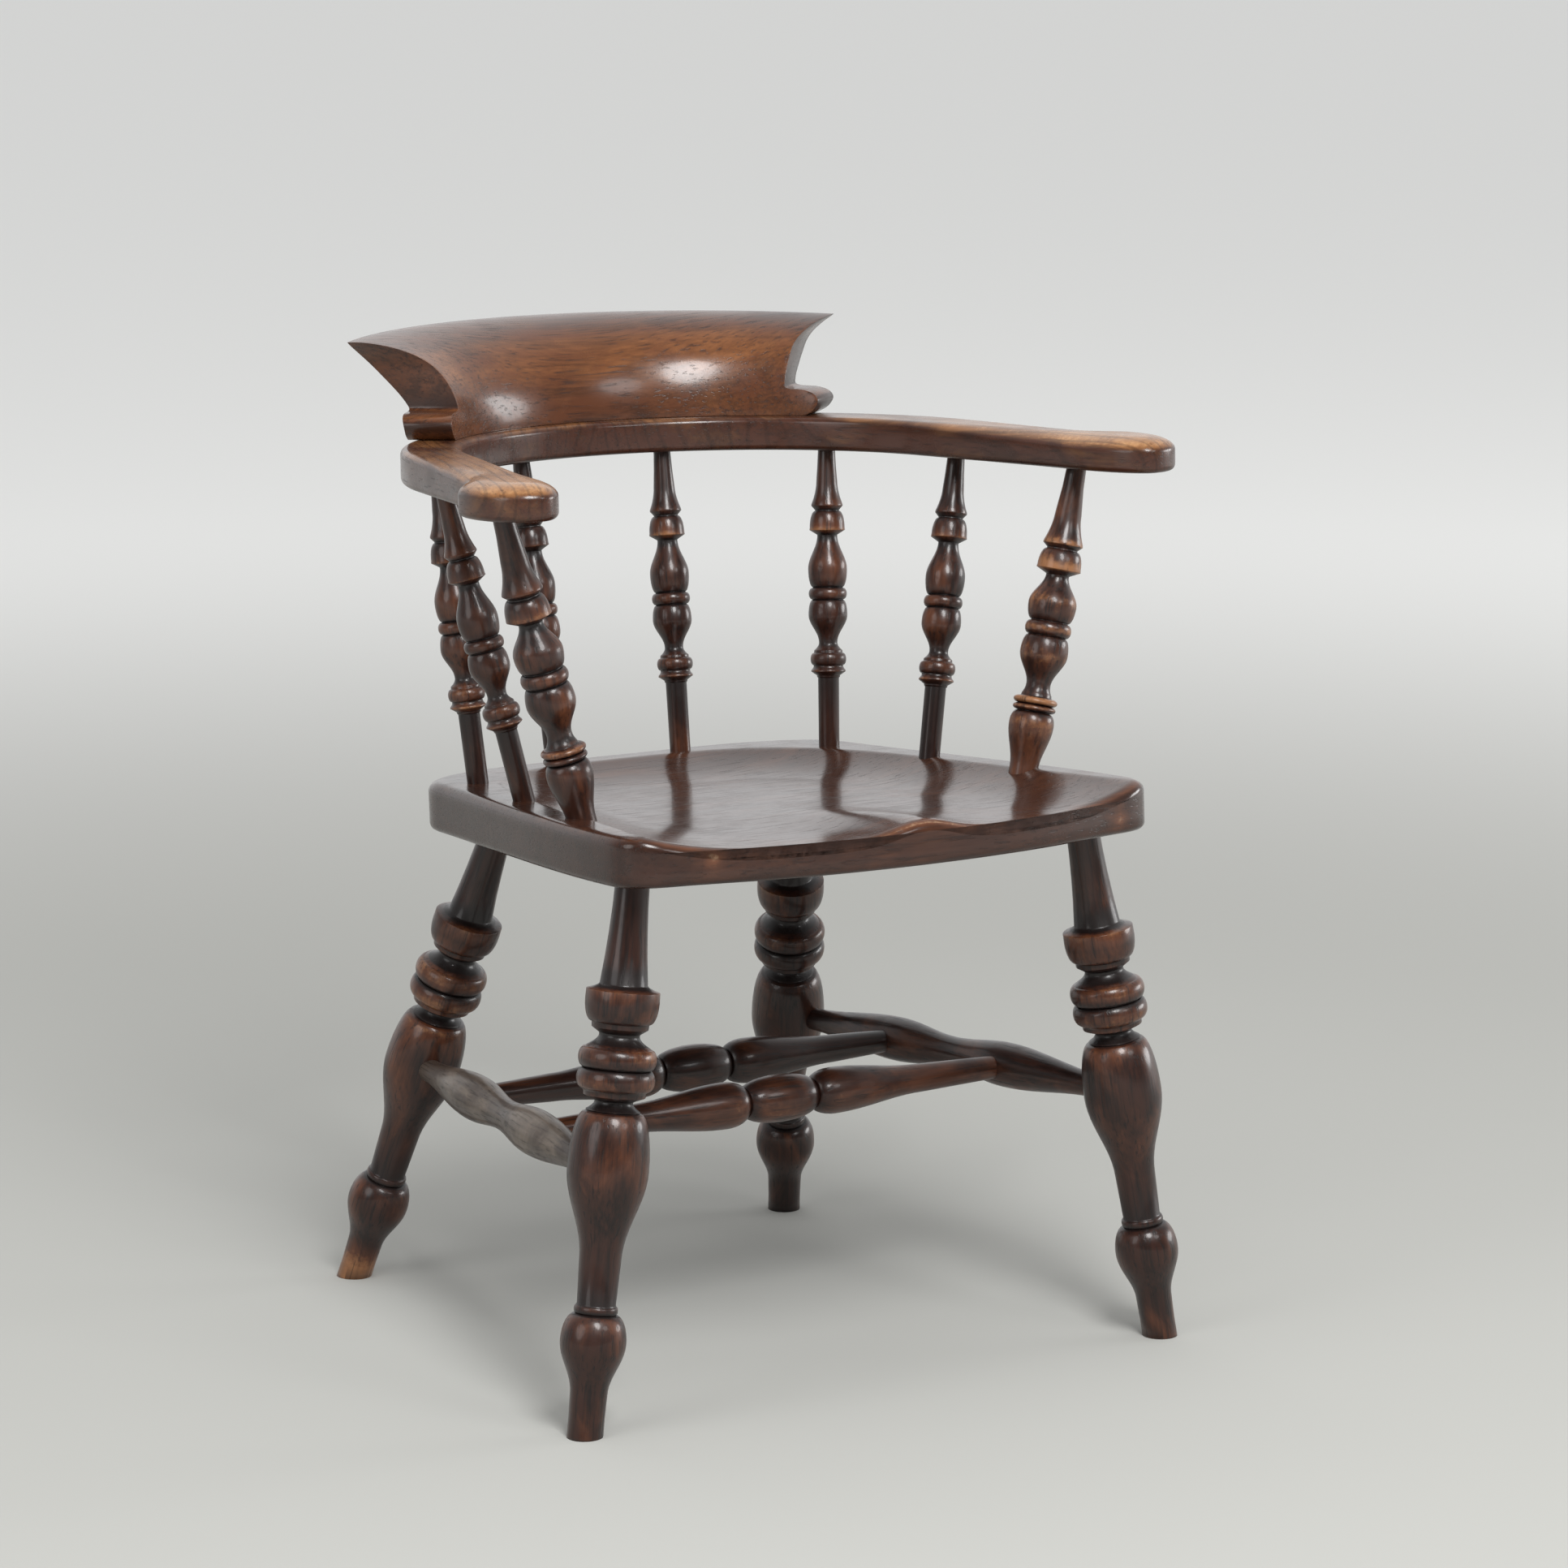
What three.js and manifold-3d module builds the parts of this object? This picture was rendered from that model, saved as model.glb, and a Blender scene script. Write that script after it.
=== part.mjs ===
// A captains chair of the smoker's bow kind: a saddle seat on four splayed turned legs with a double
// H of stretchers, eight turned spindles, a flat arm bow sawn in two halves and a concave crest rail.
// Millimetres, +Z up, the floor is z = 0, the sitter faces -Y and the sitter's left is +X.
import * as THREE from "three";
import { mergeVertices } from "three/addons/utils/BufferGeometryUtils.js";
import Module from "manifold-3d";

const wasm = await Module();
wasm.setup();

// Joints: the play between a tenon and its socket, and how far a cutting tool runs past a face.
const clearance = 0.3;
const cutOverrun = 20;

// Seat, in its own plane, which falls towards the back.
const seatHeight = 431;
const seatThickness = 38;
const seatFallDegrees = 3.5;
const seatBack = 181;
const seatFront = 302;
const seatFrontShoulder = 268;
const seatFrontHalfWidth = 231;
const seatWaistNarrowing = 27;
const seatBackNarrowing = 41;
const seatBackCorner = 62;
const seatFrontCorner = 34;
const seatTopRound = 7;
const seatUnderRound = 5;
const seatHalfPoints = 21;

// The saddle hollow in the seat inside its flat border, and the ridge between the thighs.
const dishDepth = 14;
const dishHalfWidth = 176;
const dishBack = 150;
const dishMiddleForward = 60;
const dishTaperShare = 0.155;
const dishCornerShare = 0.3;
const dishSlopeShare = 0.42;
const pommelHeight = 10;
const pommelHalfWidth = 34;
const pommelStartForward = 90;
const pommelRun = 190;

// The rings of the seat's top from its edge to its middle, and the point in its quarter round.
const seatTopShares = [0, 0.06, 0.13, 0.21, 0.31, 0.44, 0.61, 0.82];
const seatRoundShare = 0.3;

// Legs: where they enter the seat from its edges, how far they splay, and the turning from the foot up.
const legSides = 12;
const legFrontSideInset = 23.5;
const legFrontEdgeInset = 85;
const legFrontSplayOut = 49.5;
const legFrontSplayForward = 23;
const legBackSideInset = 49;
const legBackEdgeInset = 58;
const legBackSplayOut = 63;
const legBackSplayBack = 117;
const legTenonLength = 27;
const legTenonRadius = 12.7;
const legFootRadius = 13.8;
const legAnkleRadius = 13.9;
const legAnkleHeight = 32;
const legBulbRadius = 24.5;
const legBulbHeight = 70;
const legBulbCollarRadius = 15;
const legBeadHeight = 91;
const legBeadRadius = 16.3;
const legBeadWidth = 7;
const legShaftRadius = 14.4;
const legSwellStartRadius = 15.6;
const legSwellStart = 132;
const legVaseRadius = 30.2;
const legVaseHeight = 198;
const legVaseCollarRadius = 20.8;
const legVaseTop = 240;
const legLowerNeckRadius = 14.2;
const legLowerNeckHeight = 247.5;
const legStepRadius = 23;
const legStepHeight = 252;
const legRingGrooveRadius = 25;
const legRingRadius = 29;
const legRingWidth = 15.5;
const legRingFoot = 256.5;
const legUpperNeckRadius = 15;
const legUpperNeckHeight = 296.5;
const legUpperCollarRadius = 23.2;
const legCupFilletRadius = 21;
const legCupFilletHeight = 302;
const legCupFoot = 306;
const legCupRadius = 27.4;
const legCupBelly = 322;
const legCupRim = 330;
const legTaperRadius = 17.7;
const legTaperFoot = 334.5;

// Side stretchers, between a front and a back leg, and their turning from the middle out.
const stretcherSides = 10;
const sideStretcherFrontHeight = 194;
const sideStretcherBackHeight = 185;
const sideStretcherWaistRadius = 12.4;
const sideStretcherSwellRadius = 17.8;
const sideStretcherEndRadius = 9.2;
const sideStretcherSwellShare = 0.34;
const sideTenonInset = 8;

// Cross stretchers, between the two side stretchers, and their turning from the middle out.
const crossBulbRadius = 18.6;
const crossNeckRadius = 10.2;
const crossNeckOut = 30.5;
const crossSwellRadius = 18.2;
const crossSwellOut = 49;
const crossTaperRadius = 11.2;
const crossTaperOut = 130;
const crossEndRadius = 9.2;
const crossTenonInset = 5;

// Spindles: where each pair stands on the seat, and where it meets the bow, along the bow from the
// middle of the back or along the arm from its bend.
const spindleSides = 10;
const postSideInset = 34;
const postForward = 132;
const postTopAlongArm = 155.4;
const postTopOut = 1.5;
const sideSpindleInset = 21;
const sideSpindleForward = 18;
const sideSpindleTopAlongArm = 18.4;
const sideSpindleTopOut = 4.5;
const cornerSpindleSideInset = 29;
const cornerSpindleBackInset = 83;
const cornerSpindleTopAlong = 204;
const cornerSpindleTopInset = 1;
const backSpindleOut = 57.5;
const backSpindleBackInset = 21;
const backSpindleTopAlong = 67;
const backSpindleTopInset = 4.5;
const spindleSeatTenon = 24;
const spindleBowTenon = 17;

// Turning of a slim spindle, from the seat up.
const stemRadius = 8.3;
const stemHeight = 55;
const stemRingRadius = 14.1;
const stemRingHeight = 60.5;
const stemGrooveRadius = 12;
const stemGrooveHeight = 65;
const stemBeadRadius = 14.5;
const stemBeadWidth = 10;
const stemEdgeRadius = 11.6;
const stemEdgeHeight = 77.5;
const spindleNeckRadius = 7.4;
const spindleNeckHeight = 83.5;
const spindleBellyRadius = 15.8;
const lowerBellyHeight = 106;
const spindleCollarRadius = 12.2;
const lowerBellyTop = 118;
const spindleRingRadius = 15.5;
const spindleRingWidth = 10;
const upperBellyHeight = 143;
const upperNeckRadius = 8.1;
const upperNeckHeight = 170.5;
const cupLipRadius = 14.5;
const cupLipHeight = 174.5;
const cupShoulderRadius = 13.4;
const cupShoulderHeight = 186;
const cupGrooveRadius = 9.8;
const cupGrooveHeight = 190.5;
const flareRadius = 12.8;
const flareHeight = 194.5;
const flareWaistRadius = 8.6;
const flareWaistHeight = 213;
const spindleTopRadius = 6.8;

// Turning of an arm post, from the seat up.
const postFootRadius = 11.2;
const postFootHeight = 4;
const postVaseRadius = 17.6;
const postVaseHeight = 34.5;
const postVaseCollarRadius = 13;
const postVaseTop = 44;
const postRingRadius = 17;
const postRingWidth = 6;
const postEdgeRadius = 12.5;
const postNeckRadius = 9.5;
const postNeckHeight = 65;
const postBellyRadius = 18.8;
const postLowerBellyHeight = 90.5;
const postCollarRadius = 14.5;
const postLowerBellyTop = 104;
const postBellyRingRadius = 18.2;
const postBellyRingWidth = 11;
const postUpperBellyHeight = 129;
const postUpperNeckRadius = 9;
const postUpperNeckHeight = 152;
const postCupLipRadius = 17.4;
const postCupLipHeight = 156.5;
const postCupShoulderRadius = 16;
const postCupShoulderHeight = 168;
const postCupGrooveRadius = 12;
const postCupGrooveHeight = 172.5;
const postFlareRadius = 15.7;
const postFlareHeight = 176.5;
const postFlareWaistRadius = 10.6;
const postFlareWaistHeight = 200;
const postTopRadius = 7.7;

// Arm bow: its height above the seat, and its centre line, which is an arc behind the sitter and a
// straight arm on each side, then the pad.
const armRise = 236;
const bowFallDegrees = 1.7;
const bowThickness = 27;
const bowBehindSeat = 34;
const bowOutsideSeat = 36;
const bowArmAngleDegrees = 78.5;
const bowHalfWidth = 24;
const bowEdgeRound = 5;
const padNeck = 130;
const padLength = 247;
const padBulge = 20;
const padBulgeAlong = 197;
const padInnerBulge = 2;
const buttGap = 0.3;
const bowArcSteps = 10;
const bowPadSteps = 4;
const bowRoundSteps = 2;

// Crest rail on the bow, from the bow's inner edge out, and half its length with the scroll foot.
const crestHeight = 76;
const crestDepth = 98;
const crestHalfLength = 201;
const crestMiddleRise = 5;
const crestColumns = 14;

// Rows of the crest from its foot up, in shares: height, front and back face (of the depth), end.
const crestRowShares = [
  [0, 0.08, 0.51, 0.945],
  [0.06, 0.1, 0.51, 0.98],
  [0.15, 0.13, 0.51, 1],
  [0.22, 0.155, 0.52, 0.985],
  [0.265, 0.17, 0.53, 0.94],
  [0.285, 0.175, 0.535, 0.862],
  [0.36, 0.2, 0.56, 0.852],
  [0.5, 0.25, 0.61, 0.857],
  [0.62, 0.31, 0.68, 0.863],
  [0.73, 0.385, 0.77, 0.87],
  [0.82, 0.465, 0.85, 0.885],
  [0.9, 0.555, 0.92, 0.908],
  [0.96, 0.665, 0.97, 0.93],
  [1, 0.8, 1, 0.945],
];

// Countersunk screws that hold the crest from beneath the bow.
const screwSides = 8;
const screwShankRadius = 2.5;
const screwHeadRadius = 4.8;
const screwHeadHeight = 3;
const screwLength = 44;
const screwInnerAlong = 28;
const screwOuterAlong = 128;
const screwOut = 4;

const degrees = THREE.MathUtils.degToRad;

// Sizes that follow from the named ones.
const seatWaistHalfWidth = seatFrontHalfWidth - seatWaistNarrowing;
const seatBackHalfWidth = seatFrontHalfWidth - seatBackNarrowing;
const bowUnderside = seatHeight + armRise;
const bowBack = seatBack + bowBehindSeat;
const bowRadius = seatBackHalfWidth + bowOutsideSeat;
const armAngle = degrees(bowArmAngleDegrees);
const armStart = bowRadius * armAngle;
const blockSize = seatFront * 4;

// A closed three.js geometry as a solid, with its shared vertices merged.
function solidOf(geometry) {
  const bare = geometry.index ? geometry.toNonIndexed() : geometry.clone();
  for (const name of ["normal", "uv"]) bare.deleteAttribute(name);
  const merged = mergeVertices(bare, 1e-3);
  return new wasm.Manifold(
    new wasm.Mesh({
      numProp: 3,
      vertProperties: merged.attributes.position.array,
      triVerts: new Uint32Array(merged.index.array),
    }),
  );
}

// A piece of the chair: a solid in its own frame and the matrix that places it.
class Piece {
  constructor(name, solid, place = new THREE.Matrix4()) {
    Object.assign(this, { name, solid, place });
  }

  // Takes away a tool, a solid that is given with the matrix of its own frame.
  cut({ solid, place }) {
    const into = this.place.clone().invert().multiply(place);
    this.solid = this.solid.subtract(solid.transform(into.elements));
  }

  mesh(material) {
    const { vertProperties, triVerts } = this.solid.getMesh();
    const geometry = new THREE.BufferGeometry();
    geometry.setAttribute("position", new THREE.BufferAttribute(vertProperties, 3));
    geometry.setIndex(new THREE.BufferAttribute(triVerts, 1));
    geometry.computeVertexNormals();
    const mesh = new THREE.Mesh(geometry, material);
    mesh.name = this.name;
    mesh.applyMatrix4(this.place);
    return mesh;
  }
}

// A turned profile, drawn from the low end up: each step names the radius and the height it reaches.
class Turning {
  constructor(radius, height) {
    this.points = [new THREE.Vector2(0, height), new THREE.Vector2(radius, height)];
  }

  sweep(radius, height, steps, radiusShare, heightShare) {
    const { x, y } = this.points.at(-1);
    for (let i = 1; i <= steps; i++) {
      const t = i / steps;
      this.points.push(
        new THREE.Vector2(x + (radius - x) * radiusShare(t), y + (height - y) * heightShare(t)),
      );
    }
    return this;
  }

  // A straight taper or a flat shoulder.
  to(radius, height) {
    return this.sweep(radius, height, 1, (t) => t, (t) => t);
  }

  // A quarter round that leaves across the axis and arrives along it.
  rise(radius, height, steps = 2) {
    const turn = Math.PI / 2;
    return this.sweep(radius, height, steps, (t) => Math.sin(t * turn), (t) => 1 - Math.cos(t * turn));
  }

  // A quarter round that leaves along the axis and arrives across it.
  close(radius, height, steps = 2) {
    const turn = Math.PI / 2;
    return this.sweep(radius, height, steps, (t) => 1 - Math.cos(t * turn), (t) => Math.sin(t * turn));
  }

  // An S curve that leaves and arrives along the axis.
  ogee(radius, height, steps = 4) {
    return this.sweep(radius, height, steps, (t) => (1 - Math.cos(t * Math.PI)) / 2, (t) => t);
  }

  // A half round bead that comes back to the radius it left.
  bead(radius, width, steps = 1) {
    const { x, y } = this.points.at(-1);
    return this.rise(radius, y + width / 2, steps).close(x, y + width, steps);
  }

  solid(sides) {
    const outline = [...this.points, new THREE.Vector2(0, this.points.at(-1).y)];
    return solidOf(new THREE.LatheGeometry(outline, sides).rotateX(Math.PI / 2));
  }
}

// The frame of a turned piece: its axis runs from one point towards another.
function axisFrame(from, to) {
  const along = to.clone().sub(from).normalize();
  const turn = new THREE.Quaternion().setFromUnitVectors(new THREE.Vector3(0, 0, 1), along);
  return new THREE.Matrix4().compose(from, turn, new THREE.Vector3(1, 1, 1));
}

// A round socket for a tenon, between two heights of the frame of the tenon's own piece.
function socket(radius, mouth, bottom, sides, place) {
  const [low, high] = [Math.min(mouth, bottom), Math.max(mouth, bottom)];
  const solid = new Turning(radius + clearance, low).to(radius + clearance, high).solid(sides);
  return { solid, place };
}

// A wide block whose top lies at a height of the frame that it is placed in.
function blockBelow(top, place) {
  const box = new THREE.BoxGeometry(blockSize, blockSize, blockSize).translate(0, 0, top - blockSize / 2);
  return { solid: solidOf(box), place };
}

// A closed skin over rows of points, each a closed ring. At both ends the ring's first half is joined
// across to its second half.
function skin(rings) {
  const count = rings[0].length;
  const last = rings.length - 1;
  const positions = rings.flat().flatMap((p) => [p.x, p.y, p.z]);
  const triangles = [];
  for (let r = 0; r < last; r++) {
    for (let i = 0; i < count; i++) {
      const [a, b] = [r * count + i, r * count + ((i + 1) % count)];
      triangles.push(a, b, a + count, b, b + count, a + count);
    }
  }
  for (let a = 0; a + 1 < count / 2; a++) {
    const [b, c, d] = [a + 1, count - 2 - a, count - 1 - a];
    triangles.push(b, a, c, d, c, a);
    const end = last * count;
    triangles.push(end + a, end + b, end + c, end + c, end + d, end + a);
  }
  const geometry = new THREE.BufferGeometry();
  geometry.setAttribute("position", new THREE.Float32BufferAttribute(positions, 3));
  geometry.setIndex(triangles);
  return solidOf(geometry);
}

// The seat's plane and the bow's plane, as frames.
function tiltedFrame(height, fallDegrees) {
  return new THREE.Matrix4().makeTranslation(0, 0, height).multiply(
    new THREE.Matrix4().makeRotationX(-degrees(fallDegrees)),
  );
}
const seatFrame = tiltedFrame(seatHeight, seatFallDegrees);
const bowFrame = tiltedFrame(bowUnderside, bowFallDegrees);

// Where the plane through a frame's height lies at a place seen from above.
function onPlane(frame, x, y, height = 0) {
  const normal = new THREE.Vector3().setFromMatrixColumn(frame, 2);
  const point = new THREE.Vector3(0, 0, height).applyMatrix4(frame);
  return new THREE.Vector3(x, y, point.z - (normal.y * (y - point.y)) / normal.z);
}

// The seat's outline from above, counterclockwise: half of it, from the front to the back, is mirrored.
function seatOutline() {
  const half = new THREE.Path();
  half.moveTo(0, -seatFront);
  half.quadraticCurveTo(
    seatFrontHalfWidth / 2, -seatFront,
    seatFrontHalfWidth - seatFrontCorner, -seatFrontShoulder,
  );
  half.quadraticCurveTo(
    seatFrontHalfWidth, -seatFrontShoulder + seatFrontCorner / 3,
    seatFrontHalfWidth, -seatFrontShoulder + seatFrontCorner,
  );
  half.bezierCurveTo(
    seatFrontHalfWidth, -seatFrontShoulder / 2,
    seatWaistHalfWidth, 0,
    seatBackHalfWidth, seatBack - seatBackCorner,
  );
  half.bezierCurveTo(
    seatBackHalfWidth, seatBack - seatBackCorner / 2,
    seatBackHalfWidth - seatBackCorner / 2, seatBack,
    seatBackHalfWidth - seatBackCorner * 2, seatBack,
  );
  half.lineTo(0, seatBack);
  const left = half.getSpacedPoints(seatHalfPoints);
  const right = left.slice(1, -1).reverse().map((p) => new THREE.Vector2(-p.x, p.y));
  return [...left, ...right];
}

// How far the saddle is hollowed below the seat's flat border at a place on the seat. The hollow is a
// rounded square from above, wider towards the front, with a steep edge and a flat bottom.
function dish(x, y) {
  const across = Math.abs(x) / (dishHalfWidth - dishTaperShare * y);
  const backward = Math.max(0, y + dishMiddleForward) / (dishBack + dishMiddleForward);
  const square = 1 / dishCornerShare;
  const edge = (across ** square + backward ** square) ** dishCornerShare;
  const inside = THREE.MathUtils.clamp((1 - edge) / dishSlopeShare, 0, 1);
  const ridge = Math.exp(-((x / pommelHalfWidth) ** 2)) *
    THREE.MathUtils.smoothstep(-pommelStartForward - y, 0, pommelRun);
  return (dishDepth - pommelHeight * ridge) * (1 - (1 - inside) ** 2);
}

// An outline moved inwards.
function inset(outline, distance) {
  return outline.map((p, i) => {
    const next = outline[(i + 1) % outline.length];
    const side = next.clone().sub(outline.at(i - 1)).normalize();
    return new THREE.Vector2(p.x - side.y * distance, p.y + side.x * distance);
  });
}

function makeSeat() {
  const outline = seatOutline();
  const top = inset(outline, seatTopRound);
  const middle = new THREE.Vector2(0, -dishMiddleForward);
  const under = (points, z) => points.map((p) => new THREE.Vector3(p.x, p.y, z));
  const dished = (points, drop) =>
    points.map((p) => new THREE.Vector3(p.x, p.y, -dish(p.x, p.y) - drop));
  const rings = [
    under(inset(outline, seatUnderRound), -seatThickness),
    under(outline, seatUnderRound - seatThickness),
    dished(outline, seatTopRound),
    dished(inset(outline, seatTopRound * seatRoundShare), seatTopRound * seatRoundShare),
    ...seatTopShares.map((share) => dished(top.map((p) => p.clone().lerp(middle, share)), 0)),
  ];
  return new Piece("seat", skin(rings), seatFrame);
}

function legTurning() {
  return new Turning(legFootRadius, -cutOverrun)
    .to(legAnkleRadius, legAnkleHeight)
    .ogee(legBulbRadius, legBulbHeight)
    .close(legBulbCollarRadius, legBeadHeight, 3)
    .bead(legBeadRadius, legBeadWidth)
    .to(legShaftRadius, legBeadHeight + legBeadWidth)
    .to(legSwellStartRadius, legSwellStart)
    .ogee(legVaseRadius, legVaseHeight)
    .close(legVaseCollarRadius, legVaseTop, 3)
    .to(legLowerNeckRadius, legLowerNeckHeight)
    .to(legStepRadius, legStepHeight)
    .to(legRingGrooveRadius, legRingFoot)
    .bead(legRingRadius, legRingWidth, 2)
    .bead(legRingRadius, legRingWidth, 2)
    .to(legUpperCollarRadius, legRingFoot + legRingWidth * 2)
    .to(legUpperNeckRadius, legUpperNeckHeight)
    .to(legCupFilletRadius, legCupFilletHeight)
    .to(legCupFilletRadius, legCupFoot)
    .rise(legCupRadius, legCupBelly)
    .to(legCupRadius, legCupRim)
    .to(legTaperRadius, legTaperFoot);
}

// A leg from its foot on the floor to its tenon in the seat.
function makeLeg(name, foot, topX, topY, seat) {
  const entry = onPlane(seatFrame, topX, topY, -seatThickness);
  const length = foot.distanceTo(entry);
  const solid = legTurning()
    .to(legTenonRadius, length - legTenonRadius)
    .to(legTenonRadius, length + legTenonLength)
    .solid(legSides);
  const leg = new Piece(name, solid, axisFrame(foot, entry));
  leg.cut(blockBelow(0, new THREE.Matrix4()));
  const socketEnd = length + legTenonLength + clearance;
  seat.cut(socket(legTenonRadius, length - cutOverrun, socketEnd, legSides, leg.place));
  return leg;
}

function makeFrontLeg(name, side, seat) {
  const x = side * (seatFrontHalfWidth - legFrontSideInset);
  const y = legFrontEdgeInset - seatFront;
  const foot = new THREE.Vector3(x + side * legFrontSplayOut, y - legFrontSplayForward, 0);
  return makeLeg(name, foot, x, y, seat);
}

function makeBackLeg(name, side, seat) {
  const x = side * (seatBackHalfWidth - legBackSideInset);
  const y = seatBack - legBackEdgeInset;
  const foot = new THREE.Vector3(x + side * legBackSplayOut, y + legBackSplayBack, 0);
  return makeLeg(name, foot, x, y, seat);
}

// The place on a leg's axis at a height above the floor.
function onLeg(leg, height) {
  const foot = new THREE.Vector3().setFromMatrixPosition(leg.place);
  const along = new THREE.Vector3().setFromMatrixColumn(leg.place, 2);
  return foot.addScaledVector(along, height / along.z);
}

// A stretcher from its turning, about the middle between two places, with a socket at each end.
function makeStretcher(name, turning, from, to, endRadius, tenonInset, mouthInset, holders) {
  const half = from.distanceTo(to) / 2;
  const middle = from.clone().add(to).divideScalar(2);
  const stretcher = new Piece(name, turning.solid(stretcherSides), axisFrame(middle, to));
  const bottom = half - tenonInset + clearance;
  const mouth = half - mouthInset - cutOverrun;
  for (const [holder, way] of [[holders[0], -1], [holders[1], 1]]) {
    holder.cut(socket(endRadius, way * mouth, way * bottom, stretcherSides, stretcher.place));
  }
  return stretcher;
}

function makeSideStretcher(name, front, back) {
  const from = onLeg(front, sideStretcherFrontHeight);
  const to = onLeg(back, sideStretcherBackHeight);
  const half = from.distanceTo(to) / 2;
  const swell = half * (1 - sideStretcherSwellShare * 2);
  const end = half - sideTenonInset;
  const turning = new Turning(sideStretcherEndRadius, -end)
    .to(sideStretcherEndRadius, legVaseRadius - half)
    .ogee(sideStretcherSwellRadius, -swell)
    .ogee(sideStretcherWaistRadius, 0)
    .ogee(sideStretcherSwellRadius, swell)
    .ogee(sideStretcherEndRadius, half - legVaseRadius)
    .to(sideStretcherEndRadius, end);
  const stretcher = makeStretcher(
    name, turning, from, to, sideStretcherEndRadius, sideTenonInset, legVaseRadius, [front, back],
  );
  const onAxis = (along) => new THREE.Vector3(0, 0, along).applyMatrix4(stretcher.place);
  return Object.assign(stretcher, { frontSwell: onAxis(-swell), backSwell: onAxis(swell) });
}

function makeCrossStretcher(name, right, left, swell) {
  const half = right[swell].distanceTo(left[swell]) / 2;
  const end = half - crossTenonInset;
  const turning = new Turning(crossEndRadius, -end)
    .to(crossEndRadius, sideStretcherSwellRadius - half)
    .to(crossTaperRadius, -crossTaperOut)
    .ogee(crossSwellRadius, -crossSwellOut)
    .close(crossNeckRadius, -crossNeckOut, 3)
    .rise(crossBulbRadius, 0, 3)
    .close(crossNeckRadius, crossNeckOut, 3)
    .rise(crossSwellRadius, crossSwellOut, 3)
    .ogee(crossTaperRadius, crossTaperOut)
    .to(crossEndRadius, half - sideStretcherSwellRadius)
    .to(crossEndRadius, end);
  return makeStretcher(
    name, turning, right[swell], left[swell], crossEndRadius, crossTenonInset,
    sideStretcherSwellRadius, [right, left],
  );
}

function slimTurning() {
  return new Turning(stemRadius, -spindleSeatTenon)
    .to(stemRadius, stemHeight)
    .to(stemRingRadius, stemRingHeight)
    .to(stemGrooveRadius, stemGrooveHeight)
    .bead(stemBeadRadius, stemBeadWidth)
    .to(stemEdgeRadius, stemEdgeHeight)
    .to(spindleNeckRadius, spindleNeckHeight)
    .ogee(spindleBellyRadius, lowerBellyHeight, 3)
    .close(spindleCollarRadius, lowerBellyTop)
    .bead(spindleRingRadius, spindleRingWidth)
    .rise(spindleBellyRadius, upperBellyHeight)
    .ogee(upperNeckRadius, upperNeckHeight, 3)
    .to(cupLipRadius, cupLipHeight)
    .to(cupShoulderRadius, cupShoulderHeight)
    .to(cupGrooveRadius, cupGrooveHeight)
    .to(flareRadius, flareHeight)
    .to(flareWaistRadius, flareWaistHeight);
}

function postTurning() {
  return new Turning(postFootRadius, -spindleSeatTenon)
    .to(postFootRadius, postFootHeight)
    .ogee(postVaseRadius, postVaseHeight, 3)
    .close(postVaseCollarRadius, postVaseTop)
    .bead(postRingRadius, postRingWidth)
    .bead(postRingRadius, postRingWidth)
    .to(postEdgeRadius, postVaseTop + postRingWidth * 2)
    .to(postNeckRadius, postNeckHeight)
    .ogee(postBellyRadius, postLowerBellyHeight, 3)
    .close(postCollarRadius, postLowerBellyTop)
    .bead(postBellyRingRadius, postBellyRingWidth)
    .rise(postBellyRadius, postUpperBellyHeight)
    .ogee(postUpperNeckRadius, postUpperNeckHeight, 3)
    .to(postCupLipRadius, postCupLipHeight)
    .to(postCupShoulderRadius, postCupShoulderHeight)
    .to(postCupGrooveRadius, postCupGrooveHeight)
    .to(postFlareRadius, postFlareHeight)
    .to(postFlareWaistRadius, postFlareWaistHeight);
}

// A place beside the bow's centre line: how far along it from the middle of the back, and how far out.
function besideBow(along, out) {
  const angle = Math.min(Math.abs(along) / bowRadius, armAngle);
  const arm = Math.max(0, Math.abs(along) - armStart);
  const x = (bowRadius + out) * Math.sin(angle) + arm * Math.cos(armAngle);
  const y = (bowRadius + out) * Math.cos(angle) - arm * Math.sin(armAngle);
  return new THREE.Vector2(Math.sign(along) * x, bowBack - bowRadius + y);
}

// A spindle from its tenon in the seat to its tenon in the bow, with both sockets.
function makeSpindle(name, foot, top, turning, footRadius, topRadius, seat, bowHalf) {
  const length = foot.distanceTo(top);
  const tenonEnd = length + spindleBowTenon;
  const solid = turning.to(topRadius, length).to(topRadius, tenonEnd).solid(spindleSides);
  const spindle = new Piece(name, solid, axisFrame(foot, top));
  seat.cut(socket(footRadius, footRadius, -spindleSeatTenon - clearance, spindleSides, spindle.place));
  bowHalf.cut(socket(topRadius, length - topRadius, tenonEnd + clearance, spindleSides, spindle.place));
  return spindle;
}

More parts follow.
